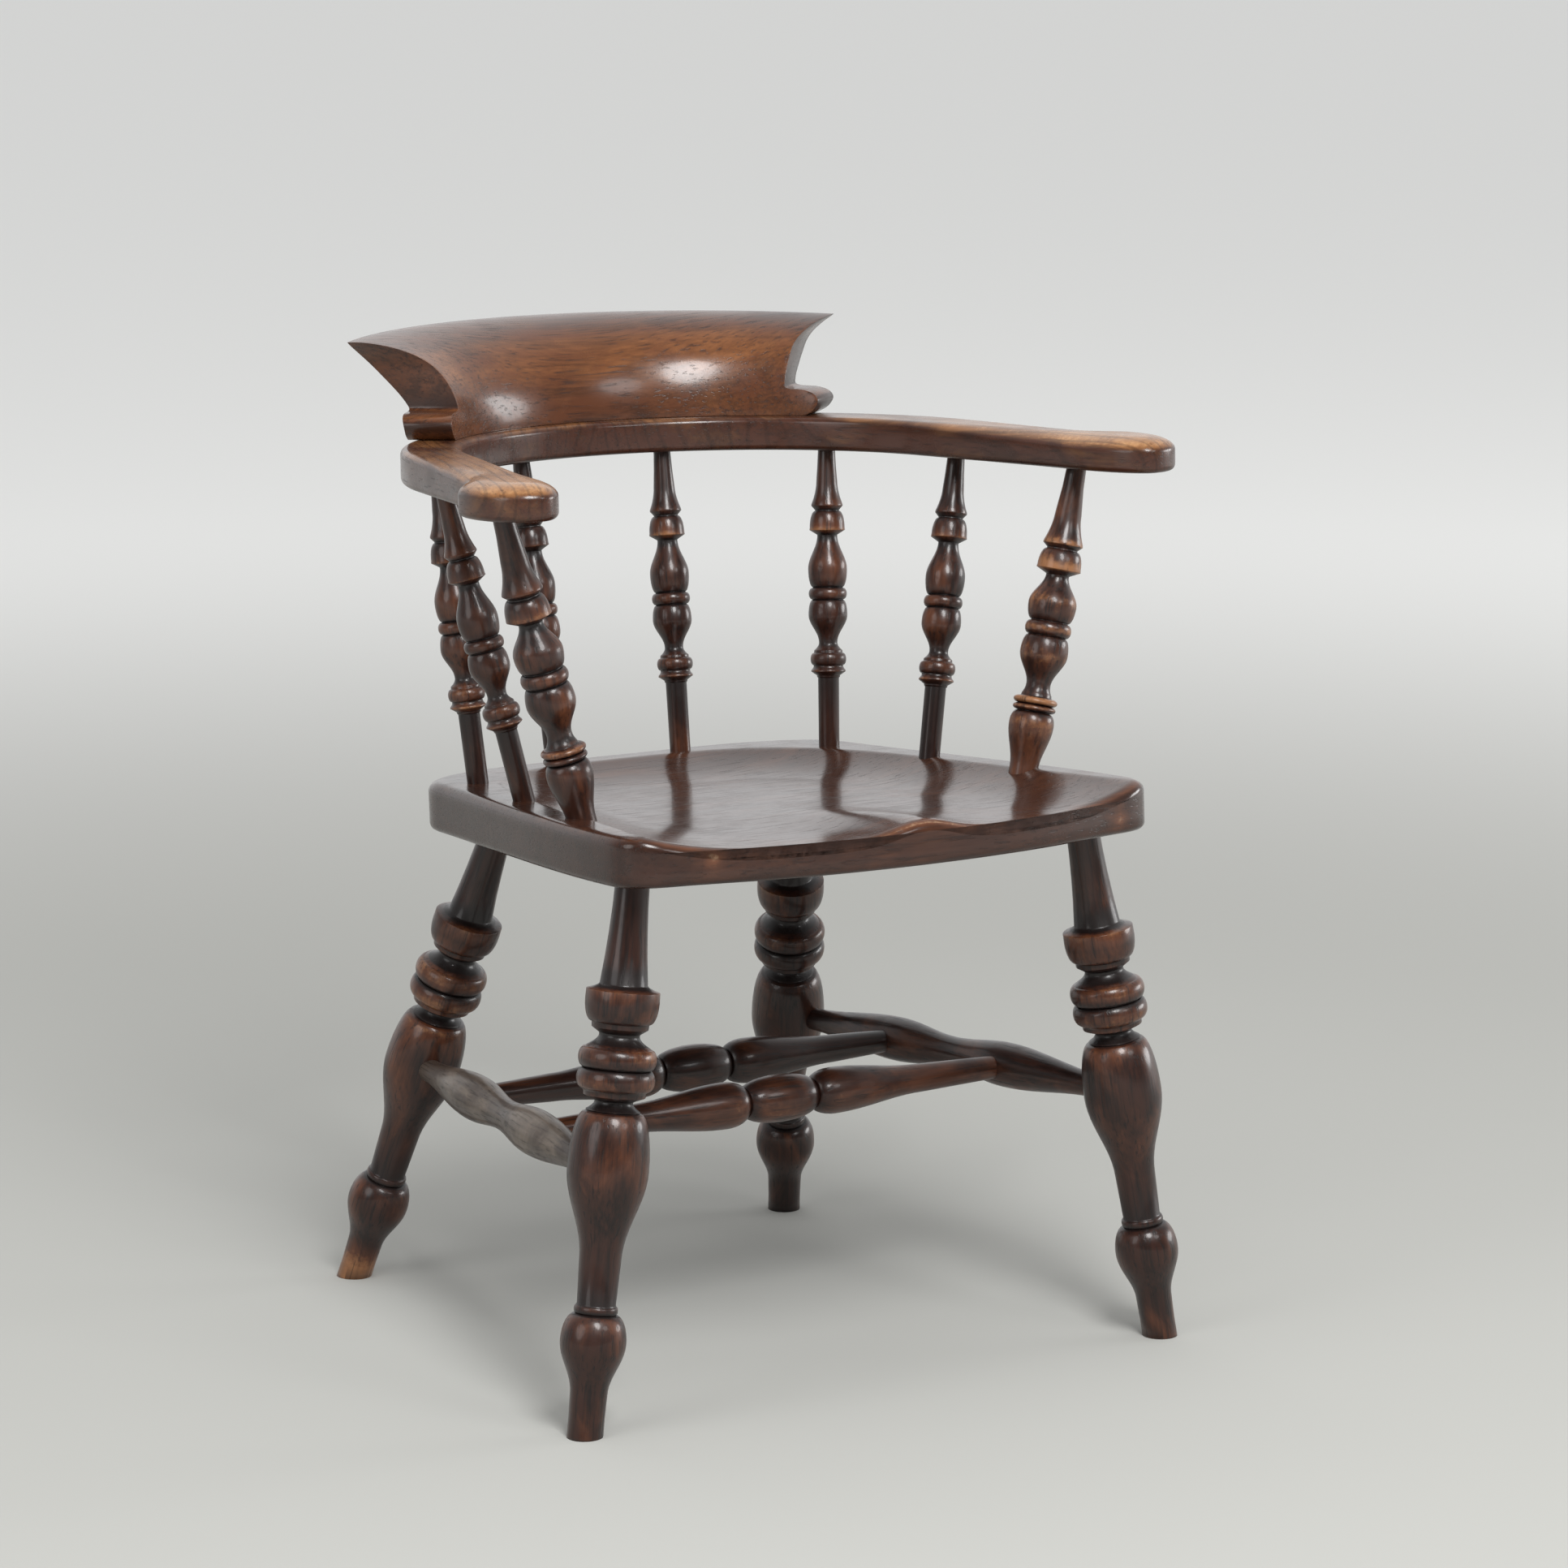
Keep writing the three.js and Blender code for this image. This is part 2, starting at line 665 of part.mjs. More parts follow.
// The four spindles of one side, from the arm post round to the back.
function makeSpindles(word, side, seat, bowHalf) {
  const foot = (x, y) => onPlane(seatFrame, side * x, y);
  const top = (along, out) => {
    const flat = besideBow(side * along, out);
    return new THREE.Vector3(flat.x, flat.y, 0).applyMatrix4(bowFrame);
  };
  const slim = (name, from, to) =>
    makeSpindle(name, from, to, slimTurning(), stemRadius, spindleTopRadius, seat, bowHalf);
  return [
    makeSpindle(
      `arm_post_${word}`, foot(seatFrontHalfWidth - postSideInset, -postForward),
      top(armStart + postTopAlongArm, postTopOut),
      postTurning(), postFootRadius, postTopRadius, seat, bowHalf,
    ),
    slim(
      `spindle_side_${word}`, foot(seatWaistHalfWidth - sideSpindleInset, -sideSpindleForward),
      top(armStart + sideSpindleTopAlongArm, sideSpindleTopOut),
    ),
    slim(
      `spindle_corner_${word}`,
      foot(seatBackHalfWidth - cornerSpindleSideInset, seatBack - cornerSpindleBackInset),
      top(cornerSpindleTopAlong, -cornerSpindleTopInset),
    ),
    slim(
      `spindle_back_${word}`, foot(backSpindleOut, seatBack - backSpindleBackInset),
      top(backSpindleTopAlong, -backSpindleTopInset),
    ),
  ];
}

// The bow from above: the outer side of the left half, its pad and its inner side, then their mirror.
function bowOutline() {
  const outer = [];
  const inner = [];
  for (let i = 0; i <= bowArcSteps; i++) {
    const along = (armStart * i) / bowArcSteps;
    outer.push(besideBow(along, bowHalfWidth));
    inner.push(besideBow(along, -bowHalfWidth));
  }
  const place = (along, out) => besideBow(armStart + along, out);
  const corner = padLength - padBulgeAlong;
  const pad = new THREE.Path();
  pad.moveTo(...place(padNeck / 2, bowHalfWidth));
  pad.bezierCurveTo(
    ...place(padNeck, bowHalfWidth),
    ...place(padNeck, bowHalfWidth + padBulge),
    ...place(padBulgeAlong, bowHalfWidth + padBulge),
  );
  pad.bezierCurveTo(
    ...place(padLength - corner / 3, bowHalfWidth + padBulge),
    ...place(padLength, bowHalfWidth),
    ...place(padLength, padBulge / 2),
  );
  pad.bezierCurveTo(
    ...place(padLength, -bowHalfWidth / 2),
    ...place(padLength - corner / 3, -bowHalfWidth - padInnerBulge),
    ...place(padBulgeAlong, -bowHalfWidth - padInnerBulge),
  );
  pad.lineTo(...place(padNeck / 2, -bowHalfWidth));
  const left = [...outer, ...pad.getPoints(bowPadSteps), ...inner.reverse()];
  const right = left.slice(1, -1).reverse().map((p) => new THREE.Vector2(-p.x, p.y));
  return new THREE.Shape([...left, ...right]);
}

// The two halves of the bow meet in a butt joint behind the sitter.
function makeBowHalf(name, side) {
  const whole = new THREE.ExtrudeGeometry(bowOutline(), {
    depth: bowThickness - bowEdgeRound * 2,
    bevelThickness: bowEdgeRound,
    bevelSize: bowEdgeRound,
    bevelOffset: -bowEdgeRound,
    bevelSegments: bowRoundSteps,
  }).translate(0, 0, bowEdgeRound);
  const block = new THREE.BoxGeometry(blockSize, blockSize, blockSize)
    .translate((side * (blockSize + buttGap)) / 2, 0, 0);
  return new Piece(name, solidOf(whole).intersect(solidOf(block)), bowFrame);
}

// The crest stands on both halves of the bow: each column is its section at one share of its length.
function makeCrest() {
  const foot = bowThickness + clearance;
  const columns = [];
  for (let c = 0; c <= crestColumns; c++) {
    const share = 1 - (c / crestColumns) * 2;
    const lift = crestMiddleRise * (1 - share * share);
    const place = (heightShare, depthShare, endShare) => {
      const out = depthShare * crestDepth - bowHalfWidth;
      const flat = besideBow(share * endShare * crestHalfLength, out);
      return new THREE.Vector3(flat.x, flat.y, foot + heightShare * (crestHeight + lift));
    };
    columns.push([
      ...crestRowShares.map(([height, front, , end]) => place(height, front, end)),
      ...crestRowShares.toReversed().map(([height, , back, end]) => place(height, back, end)),
    ]);
  }
  return new Piece("crest_rail", skin(columns), bowFrame);
}

// A screw from beneath the bow into the crest, with its hole and its countersink.
function makeScrew(name, along, bowHalf, crest) {
  const flat = besideBow(along, screwOut);
  const place = bowFrame.clone().multiply(new THREE.Matrix4().makeTranslation(flat.x, flat.y, clearance));
  const solid = new Turning(screwHeadRadius, 0)
    .to(screwShankRadius, screwHeadHeight)
    .to(screwShankRadius, screwLength)
    .solid(screwSides);
  const hole = new Turning(screwHeadRadius + clearance, -cutOverrun)
    .to(screwHeadRadius + clearance, clearance)
    .to(screwShankRadius + clearance, screwHeadHeight + clearance)
    .to(screwShankRadius + clearance, screwLength + clearance)
    .solid(screwSides);
  for (const piece of [bowHalf, crest]) piece.cut({ solid: hole, place });
  return new Piece(name, solid, place);
}

const wood = new THREE.MeshStandardMaterial({ color: 0x3a2018, roughness: 0.4, metalness: 0 });
const wornWood = new THREE.MeshStandardMaterial({ color: 0x6e4026, roughness: 0.35, metalness: 0 });
const steel = new THREE.MeshStandardMaterial({ color: 0x6f6a64, roughness: 0.45, metalness: 1 });

const seat = makeSeat();
const bowLeft = makeBowHalf("arm_bow_left", 1);
const bowRight = makeBowHalf("arm_bow_right", -1);
const crest = makeCrest();
const legFrontLeft = makeFrontLeg("leg_front_left", 1, seat);
const legFrontRight = makeFrontLeg("leg_front_right", -1, seat);
const legBackLeft = makeBackLeg("leg_back_left", 1, seat);
const legBackRight = makeBackLeg("leg_back_right", -1, seat);
const stretcherLeft = makeSideStretcher("side_stretcher_left", legFrontLeft, legBackLeft);
const stretcherRight = makeSideStretcher("side_stretcher_right", legFrontRight, legBackRight);
const crossFront = makeCrossStretcher("cross_stretcher_front", stretcherRight, stretcherLeft, "frontSwell");
const crossRear = makeCrossStretcher("cross_stretcher_rear", stretcherRight, stretcherLeft, "backSwell");
const spindles = [
  ...makeSpindles("left", 1, seat, bowLeft),
  ...makeSpindles("right", -1, seat, bowRight),
];
const screws = [
  makeScrew("crest_screw_inner_left", screwInnerAlong, bowLeft, crest),
  makeScrew("crest_screw_outer_left", screwOuterAlong, bowLeft, crest),
  makeScrew("crest_screw_inner_right", -screwInnerAlong, bowRight, crest),
  makeScrew("crest_screw_outer_right", -screwOuterAlong, bowRight, crest),
];

// Meshes of pieces that belong together, in one material.
function group(name, pieces, material) {
  const members = new THREE.Group();
  members.name = name;
  for (const piece of pieces) members.add(piece.mesh(material));
  return members;
}

const chair = new THREE.Group();
chair.name = "captains_chair";
chair.add(seat.mesh(wood));
chair.add(group("legs", [legFrontLeft, legFrontRight, legBackLeft, legBackRight], wood));
chair.add(group("stretchers", [stretcherLeft, stretcherRight, crossFront, crossRear], wood));
chair.add(group("spindles", spindles, wood));
chair.add(group("arms_and_crest", [bowLeft, bowRight, crest], wornWood));
chair.add(group("crest_screws", screws, steel));

// The middle of the chair's box stands over the origin.
chair.position.y = -new THREE.Box3().setFromObject(chair, true).getCenter(new THREE.Vector3()).y;

export default chair;
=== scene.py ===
import bisect
import math

import bpy
from mathutils import Matrix, Vector
from mathutils.geometry import interpolate_bezier, intersect_point_line
from mathutils.kdtree import KDTree


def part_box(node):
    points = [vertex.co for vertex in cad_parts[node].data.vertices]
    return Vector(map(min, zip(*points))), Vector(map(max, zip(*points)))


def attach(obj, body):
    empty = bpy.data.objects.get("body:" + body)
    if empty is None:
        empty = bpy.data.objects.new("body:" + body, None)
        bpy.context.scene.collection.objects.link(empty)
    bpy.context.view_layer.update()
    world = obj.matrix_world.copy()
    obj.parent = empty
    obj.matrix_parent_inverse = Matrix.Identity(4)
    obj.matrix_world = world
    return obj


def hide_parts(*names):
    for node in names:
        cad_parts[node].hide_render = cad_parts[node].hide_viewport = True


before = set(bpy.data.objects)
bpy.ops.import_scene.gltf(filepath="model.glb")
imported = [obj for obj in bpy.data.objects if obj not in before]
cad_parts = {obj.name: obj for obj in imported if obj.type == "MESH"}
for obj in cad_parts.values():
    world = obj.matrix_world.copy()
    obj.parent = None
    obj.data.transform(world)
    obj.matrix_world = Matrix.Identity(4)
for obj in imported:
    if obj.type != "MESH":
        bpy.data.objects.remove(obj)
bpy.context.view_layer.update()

MM = 0.001

# The camera stands in front of the chair and towards the sitter's right, a little above the crest,
# and looks slightly down with a long lens.
camera_place = (-2.1309, -3.6144, 1.2020)
camera_down = math.radians(10.49)
camera_turn = math.radians(-31.17)
lens_per_frame_width = 3.4904
bpy.ops.object.camera_add(
    location=camera_place,
    rotation=(math.pi / 2 - camera_down, 0, camera_turn),
)
camera = bpy.context.object
camera.data.sensor_width = 36
camera.data.lens = lens_per_frame_width * camera.data.sensor_width
bpy.context.scene.camera = camera


# Shader maths for the finishes below: arithmetic on a Value adds the nodes that work it out.
class Value:
    def __init__(self, nodes, socket):
        self.nodes = nodes
        self.socket = socket

    def _math(self, operation, first, second):
        return self.nodes.add("Math", {"operation": operation}, {0: first, 1: second})

    def __add__(self, other):
        return self._math("ADD", self, other)

    def __radd__(self, other):
        return self._math("ADD", other, self)

    def __sub__(self, other):
        return self._math("SUBTRACT", self, other)

    def __rsub__(self, other):
        return self._math("SUBTRACT", other, self)

    def __mul__(self, other):
        return self._math("MULTIPLY", self, other)

    def __rmul__(self, other):
        return self._math("MULTIPLY", other, self)


class Nodes:
    def __init__(self, tree):
        self.tree = tree

    def add(self, kind, settings=None, sockets=None, output=0):
        node = self.tree.nodes.new("ShaderNode" + kind)
        for key, setting in (settings or {}).items():
            setattr(node, key, setting)
        for key, value in (sockets or {}).items():
            self.feed(node.inputs[key], value)
        return Value(self, node.outputs[output])

    def feed(self, socket, value):
        if isinstance(value, Value):
            self.tree.links.new(value.socket, socket)
        else:
            socket.default_value = value

    def step(self, value, low, high):
        settings = {"interpolation_type": "SMOOTHSTEP", "clamp": True}
        return self.add("MapRange", settings, {"Value": value, "From Min": low, "From Max": high})

    def mix(self, share, first, second, blend="MIX"):
        settings = {"data_type": "RGBA", "blend_type": blend}
        return self.add("Mix", settings, {0: share, 6: first, 7: second}, output=2)

    def stretched(self, vector, scales):
        return self.add("VectorMath", {"operation": "MULTIPLY"}, {0: vector, 1: scales})

    def noise(self, vector, scale, detail=3.0, roughness=0.5, distortion=0.0):
        sockets = {"Vector": vector, "Scale": scale, "Detail": detail}
        sockets |= {"Roughness": roughness, "Distortion": distortion}
        return self.add("TexNoise", {}, sockets)


class Finish(Nodes):
    def __init__(self, name):
        self.material = bpy.data.materials.new(name)
        self.material.use_nodes = True
        self.shader = self.material.node_tree.nodes["Principled BSDF"]
        super().__init__(self.material.node_tree)

    def surface(self, **sockets):
        for key, value in sockets.items():
            self.feed(self.shader.inputs[key.replace("_", " ")], value)
        return self.material


def rgb(red, green, blue):
    """A colour from its 8-bit screen values."""
    return tuple(((c / 255 + 0.055) / 1.055) ** 2.4 for c in (red, green, blue)) + (1,)


# Stained and waxed hardwood. Streaks and pores run along each piece. The stain is nearly black in the
# turned grooves, and rubbing has worn it through in clouds and along the proudest edges.
def waxed_wood(name, tones, gloss, streaks=1.0, mottle=1.0, rings=0.15):
    """The tones run from the darkest stain to bare rubbed wood."""
    deep, body, warm, bare = [rgb(*tone) for tone in tones]
    finish = Finish(name)
    grain = finish.add("Attribute", {"attribute_name": "grain"}, output=1)
    rub_and_painted_light = finish.add("Attribute", {"attribute_name": "rub_and_painted_light"}, output=2)

    # Wide streaks, fine fibres, clouds and growth rings drawn out along the grain, specks and handling.
    figure = finish.noise(finish.stretched(grain, (1, 1, 0.09)), 60, 4, 0.6, 0.9)
    fibres = finish.noise(finish.stretched(grain, (1, 1, 0.04)), 430, 2, 0.6)
    clouds = finish.noise(finish.stretched(grain, (1, 1, 0.5)), 27, 4, 0.62, 0.7)
    specks = finish.noise(grain, 230, 3, 0.7)
    bands = {"Vector": finish.stretched(grain, (1, 1, 0.3)), "Scale": 30, "Distortion": 14}
    growth = finish.add("TexWave", {}, bands | {"Detail": 1.5, "Detail Scale": 0.5}, output=1)
    handled = finish.noise(grain, 34, 4, 0.7)

    # Where the stain lies in streaks and pores, where it is worn thin or bare, and where grime stays.
    # Painted shade brought in with the rubbing darkens through the grime mask, and a painted highlight
    # lightens through the worn and bared masks.
    streak = finish.step(figure * 0.6 + fibres * 0.4, 0.42, 0.6)
    cloudy = (clouds - 0.5) * mottle
    worn_and_painted_light = finish.step(cloudy + rub_and_painted_light * 0.17 + (figure - 0.5) * 0.3, -0.04, 0.26)
    bared_and_painted_highlight = finish.step(rub_and_painted_light + cloudy * 1.6 + (specks - 0.5) * 0.9, 0.9, 1.6)
    grime_and_painted_shade = finish.step(0.0 - rub_and_painted_light + (clouds - 0.5) * 0.5, 0.12, 0.7)
    pores = finish.step(fibres, 0.58, 0.68)

    # From the stain to the worn and the bare wood with their painted highlight, then back to dark in
    # rings, grime with its painted shade, and pores.
    colour = finish.mix(streak * (0.75 * streaks), body, deep)
    colour = finish.mix(worn_and_painted_light, colour, finish.mix(streak * (0.5 * streaks), warm, body))
    colour = finish.mix(bared_and_painted_highlight * 0.85, colour, bare)
    colour = finish.mix(finish.step(growth, 0.78, 1) * rings, colour, deep)
    colour = finish.mix(grime_and_painted_shade * 0.9, colour, deep)
    colour = finish.mix(pores * (0.55 * streaks), colour, deep)

    dulled = finish.step(handled, 0.4, 0.72) * (0.16 * mottle)
    roughness = gloss + dulled + pores * 0.12 + grime_and_painted_shade * 0.1
    height = 0.0 - pores * 0.3 + figure * 0.16 + specks * 0.05 + handled * (0.2 * mottle * mottle)
    normal = finish.add("Bump", {}, {"Height": height, "Strength": 0.4, "Distance": 0.0006})
    return finish.surface(
        Base_Color=colour,
        Roughness=roughness,
        Normal=normal,
        Specular_IOR_Level=0.36,
        Coat_Weight=0.25,
        Coat_Roughness=0.12,
    )


turned_stain = waxed_wood(
    "waxed_turning", [(17, 10, 9), (49, 27, 20), (90, 52, 33), (142, 98, 64)], 0.3
)


# A turning, from the outline of its half section: a circle on the lathe's axis is drawn along the
# axis and scaled to each radius in turn, then the finished piece is laid onto its own axis.
quarter_turn = math.pi / 2
smooth_below = math.radians(38)
merge_reach = 0.01 * MM


class Outline:
    def __init__(self, radius, height, moves):
        self.points = [(radius * MM, height * MM)]
        for move, reach, place in moves:
            getattr(self, move)(reach * MM, place * MM)

    def _curve(self, radius, height, steps, across, along):
        first, start = self.points[-1]
        for i in range(1, steps + 1):
            share = i / steps
            self.points.append((
                first + (radius - first) * across(share),
                start + (height - start) * along(share),
            ))

    def to(self, radius, height):
        self._curve(radius, height, 1, lambda t: t, lambda t: t)

    def rise(self, radius, height):
        self._curve(
            radius, height, 7,
            lambda t: math.sin(t * quarter_turn), lambda t: 1 - math.cos(t * quarter_turn),
        )

    def close(self, radius, height):
        self._curve(
            radius, height, 8,
            lambda t: 1 - math.cos(t * quarter_turn), lambda t: math.sin(t * quarter_turn),
        )

    def ogee(self, radius, height):
        self._curve(radius, height, 12, lambda t: (1 - math.cos(t * math.pi)) / 2, lambda t: t)

    def cove(self, radius, height):
        self._curve(radius, height, 6, lambda t: 1 - (1 - t) ** 1.8, lambda t: t)

    def bead(self, radius, width):
        first, start = self.points[-1]
        self.rise(radius, start + width / 2)
        self.close(first, start + width)

    def radius_at(self, height):
        for (low_r, low_z), (high_r, high_z) in zip(self.points, self.points[1:]):
            if high_z >= height:
                share = (height - low_z) / max(high_z - low_z, 1e-9)
                return low_r + (high_r - low_r) * min(max(share, 0), 1)
        return self.points[-1][0]

    def proud(self, height, reach=11 * MM, full=2.2 * MM):
        """How far the turning stands out here from its mean over a short reach, from -1 to 1."""
        samples = [height + reach * k / 6 for k in range(-6, 7)]
        mean = sum(self.radius_at(z) for z in samples) / len(samples)
        return max(-1, min(1, (self.radius_at(height) - mean) / full))


def select_only(piece):
    bpy.ops.object.select_all(action="DESELECT")
    piece.select_set(True)
    bpy.context.view_layer.objects.active = piece


def face_outwards():
    """Turns the faces of the piece that is active and selected outwards."""
    bpy.ops.object.mode_set(mode="EDIT")
    bpy.ops.mesh.select_all(action="SELECT")
    bpy.ops.mesh.normals_make_consistent(inside=False)
    bpy.ops.object.mode_set(mode="OBJECT")


def turn_piece(name, outline, sides):
    bpy.ops.object.select_all(action="DESELECT")
    radius, height = outline.points[0]
    bpy.ops.mesh.primitive_circle_add(
        vertices=sides, radius=radius, fill_type="NGON", location=(0, 0, height)
    )
    piece = bpy.context.object
    piece.name = name
    bpy.ops.object.transform_apply(location=True, rotation=True, scale=True)
    bpy.ops.object.mode_set(mode="EDIT")
    bpy.ops.mesh.select_all(action="SELECT")
    for (last, low), (radius, high) in zip(outline.points, outline.points[1:]):
        bpy.ops.mesh.extrude_region_move(TRANSFORM_OT_translate={"value": (0, 0, high - low)})
        share = radius / last
        bpy.ops.transform.resize(value=(share, share, 1), center_override=(0, 0, high))
    bpy.ops.object.mode_set(mode="OBJECT")
    face_outwards()
    return piece


def soften(piece, width, segments=2, angle=24):
    """Takes the sharpness off the edges, as sanding and wear do."""
    select_only(piece)
    bevel = piece.modifiers.new("worn_edges", "BEVEL")
    bevel.width = width
    bevel.segments = segments
    bevel.limit_method = "ANGLE"
    bevel.angle_limit = math.radians(angle)
    bevel.harden_normals = False
    bpy.ops.object.modifier_apply(modifier=bevel.name)
    bpy.ops.object.mode_set(mode="EDIT")
    bpy.ops.mesh.select_all(action="SELECT")
    bpy.ops.mesh.remove_doubles(threshold=merge_reach)
    bpy.ops.object.mode_set(mode="OBJECT")
    bpy.ops.object.shade_smooth_by_angle(angle=smooth_below)


def store(piece, place, offset, rub_and_painted_light):
    """Keeps each point's place along the grain, and how rubbed it is there together with any painted shade
    and painted highlight, for the finish.

    That value is worked out from the point's place in the piece's frame and the way its surface faces, so
    that sides and ends can carry painted shade.
    The offset gives each piece its own part of the wood.
    """
    inverse = place.inverted()
    mesh = piece.data
    local = [inverse @ v.co for v in mesh.vertices]
    facing = [inverse.to_3x3() @ v.normal for v in mesh.vertices]
    shifted = [c for p in local for c in p + Vector(offset)]
    mesh.attributes.new("grain", "FLOAT_VECTOR", "POINT")
    mesh.attributes.new("rub_and_painted_light", "FLOAT", "POINT")
    mesh.attributes["grain"].data.foreach_set("vector", shifted)
    mesh.attributes["rub_and_painted_light"].data.foreach_set("value", [rub_and_painted_light(*pair) for pair in zip(local, facing)])


def finish_piece(piece, node, material):
    piece.data.materials.clear()
    piece.data.materials.append(material)
    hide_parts(node)
    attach(piece, "root")


def end_of(points, axis):
    """The middle of the ring of points that reaches furthest along an axis."""
    reach = max(p.dot(axis) for p in points)
    ring = {tuple(round(c, 5) for c in p) for p in points if p.dot(axis) > reach - 0.2 * MM}
    return sum((Vector(p) for p in ring), Vector()) / len(ring)


def axis_ends(node):
    """The two ends of a turned node's axis, the first one lower or further to the -X and -Y side."""
    points = [v.co.copy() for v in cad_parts[node].data.vertices]
    low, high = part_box(node)
    middle = (low + high) / 2
    axis = max((p - middle for p in points), key=lambda p: p.length)
    for _ in range(5):
        axis = (end_of(points, axis) - end_of(points, -axis)).normalized()
    ends = [end_of(points, -axis), end_of(points, axis)]
    return sorted(ends, key=lambda p: p.x + p.y + p.z * 10)


def placed(start, end):
    """The frame of a turned piece: its low end at the origin and its axis along Z."""
    turn = Vector((0, 0, 1)).rotation_difference((end - start).normalized())
    return Matrix.LocRotScale(start, turn, None)


def smooth_share(value, run):
    share = min(max(value / run, 0), 1)
    return share * share * (3 - 2 * share)


def copy_of(piece, name):
    copy = piece.copy()
    copy.data = piece.data.copy()
    copy.name = name
    bpy.context.scene.collection.objects.link(copy)
    return copy


# Four legs, each turned from one square of hardwood: a bulb foot, a long vase, a pair of rings, a cup
# and a plain taper whose tenon is glued into the seat. The feet are sawn flat to the floor, and the
# finish is worn off them.
leg_turning = Outline(13.8, -12, [
    ("to", 13.5, 0), ("to", 13.4, 14), ("to", 13.9, 32), ("ogee", 24.5, 70), ("close", 15, 91),
    ("bead", 16.3, 6), ("to", 14.4, 98.5), ("to", 15.6, 132), ("ogee", 30.2, 198), ("close", 20.8, 240),
    ("to", 19.4, 240.6), ("to", 20.3, 241.2), ("cove", 14.2, 247.5), ("to", 14.6, 248.5), ("to", 23, 252),
    ("to", 23.2, 255), ("to", 24.4, 256.5), ("bead", 29, 15.5), ("bead", 29, 15.5), ("to", 23.2, 288.6),
    ("cove", 15, 296.5), ("to", 15.2, 298), ("to", 21, 302), ("to", 21.2, 305.5), ("to", 21.8, 306),
    ("rise", 27.4, 322), ("to", 27.2, 329.6), ("cove", 17.7, 334.5), ("to", 15.6, 355), ("to", 14.2, 373),
    ("to", 13.2, 391), ("to", 12.7, 411), ("to", 12.7, 424),
])
worn_foot = 8 * MM
worn_foot_fade = 50 * MM
leg_nodes = ["leg_front_left", "leg_front_right", "leg_back_left", "leg_back_right"]
leg_model = turn_piece("leg_model", leg_turning, sides=56)
soften(leg_model, width=0.35 * MM)
for number, node in enumerate(leg_nodes):
    solid = [v.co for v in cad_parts[node].data.vertices]
    on_floor = {(round(p.x, 5), round(p.y, 5)) for p in solid if p.z < 1e-5}
    foot = Vector((*[(min(places) + max(places)) / 2 for places in zip(*on_floor)], 0))
    place = placed(foot, axis_ends(node)[1])
    leg = copy_of(leg_model, node + "_turning")
    leg.data.transform(place)
    select_only(leg)
    bpy.ops.object.mode_set(mode="EDIT")
    bpy.ops.mesh.select_all(action="SELECT")
    bpy.ops.mesh.bisect(plane_co=(0, 0, 0), plane_no=(0, 0, 1), clear_inner=True, use_fill=True)
    bpy.ops.object.mode_set(mode="OBJECT")
    bare_foot = 1.5 if node == "leg_back_right" else 0.5

    def leg_rub(p, facing, bare_foot=bare_foot):
        return leg_turning.proud(p.z) + bare_foot * (1 - smooth_share(p.z - worn_foot, worn_foot_fade))

    store(leg, place, (number * 0.37, number * 0.21, number * 0.53), leg_rub)
    finish_piece(leg, node, turned_stain)
bpy.data.objects.remove(leg_model)

# Two side stretchers, each turned with a swell near either end where a cross stretcher is let in. The
# right one is finished in paler, greyer tones.
side_turning = Outline(7.2, -202, [
    ("to", 9.2, -201.5), ("to", 9.2, -176), ("ogee", 17.8, -66.5), ("ogee", 12.4, 0), ("ogee", 17.8, 66.5),
    ("ogee", 9.2, 176), ("to", 9.2, 201.5),
])
grey_stain = waxed_wood(
    "grey_turning", [(38, 29, 25), (74, 62, 53), (112, 100, 88), (146, 134, 120)], 0.42, 0.7
)
side_length = 403 * MM
side_model = turn_piece("side_model", side_turning, sides=48)
soften(side_model, width=0.3 * MM)
for number, node in enumerate(["side_stretcher_left", "side_stretcher_right"]):
    ends = axis_ends(node)
    middle = (ends[0] + ends[1]) / 2
    place = placed(middle, ends[1])
    rail = copy_of(side_model, node + "_turning")
    drawn_out = (ends[1] - ends[0]).length / side_length
    rail.data.transform(place @ Matrix.Diagonal((1, 1, drawn_out, 1)))
    offset = (number * 0.31 + 2, 0.4, 0.3)
    store(rail, place, offset, lambda p, facing: side_turning.proud(p.z) * 0.6 + 0.1)
    finish_piece(rail, node, turned_stain if number == 0 else grey_stain)
bpy.data.objects.remove(side_model)

# Two cross stretchers between the side stretchers, with three bulbs in the middle and long tapers.
for number, node in enumerate(["cross_stretcher_front", "cross_stretcher_rear"]):
    ends = axis_ends(node)
    half = (ends[1] - ends[0]).length / 2 / MM
    cross_turning = Outline(7.2, -half, [
        ("to", 9.2, -half + 1), ("to", 9.2, -half + 13), ("to", 11.2, -130), ("ogee", 18.2, -49),
        ("close", 10.2, -31), ("to", 10, -30.5), ("rise", 18.6, 0), ("close", 10, 30.5), ("to", 10.2, 31),
        ("rise", 18.2, 49), ("ogee", 11.2, 130), ("to", 9.2, half - 13), ("to", 9.2, half - 1),
        ("to", 7.2, half),
    ])
    cross = turn_piece(node + "_turning", cross_turning, sides=48)
    soften(cross, width=0.3 * MM)
    place = placed((ends[0] + ends[1]) / 2, ends[1])
    cross.data.transform(place)
    warmth = 0.6 if number == 0 else 0.1
    offset = (number * 0.43 + 3, 0.2, 0.9)
    store(cross, place, offset, lambda p, facing: cross_turning.proud(p.z, 20 * MM) * 0.5 + warmth)
    finish_piece(cross, node, turned_stain)

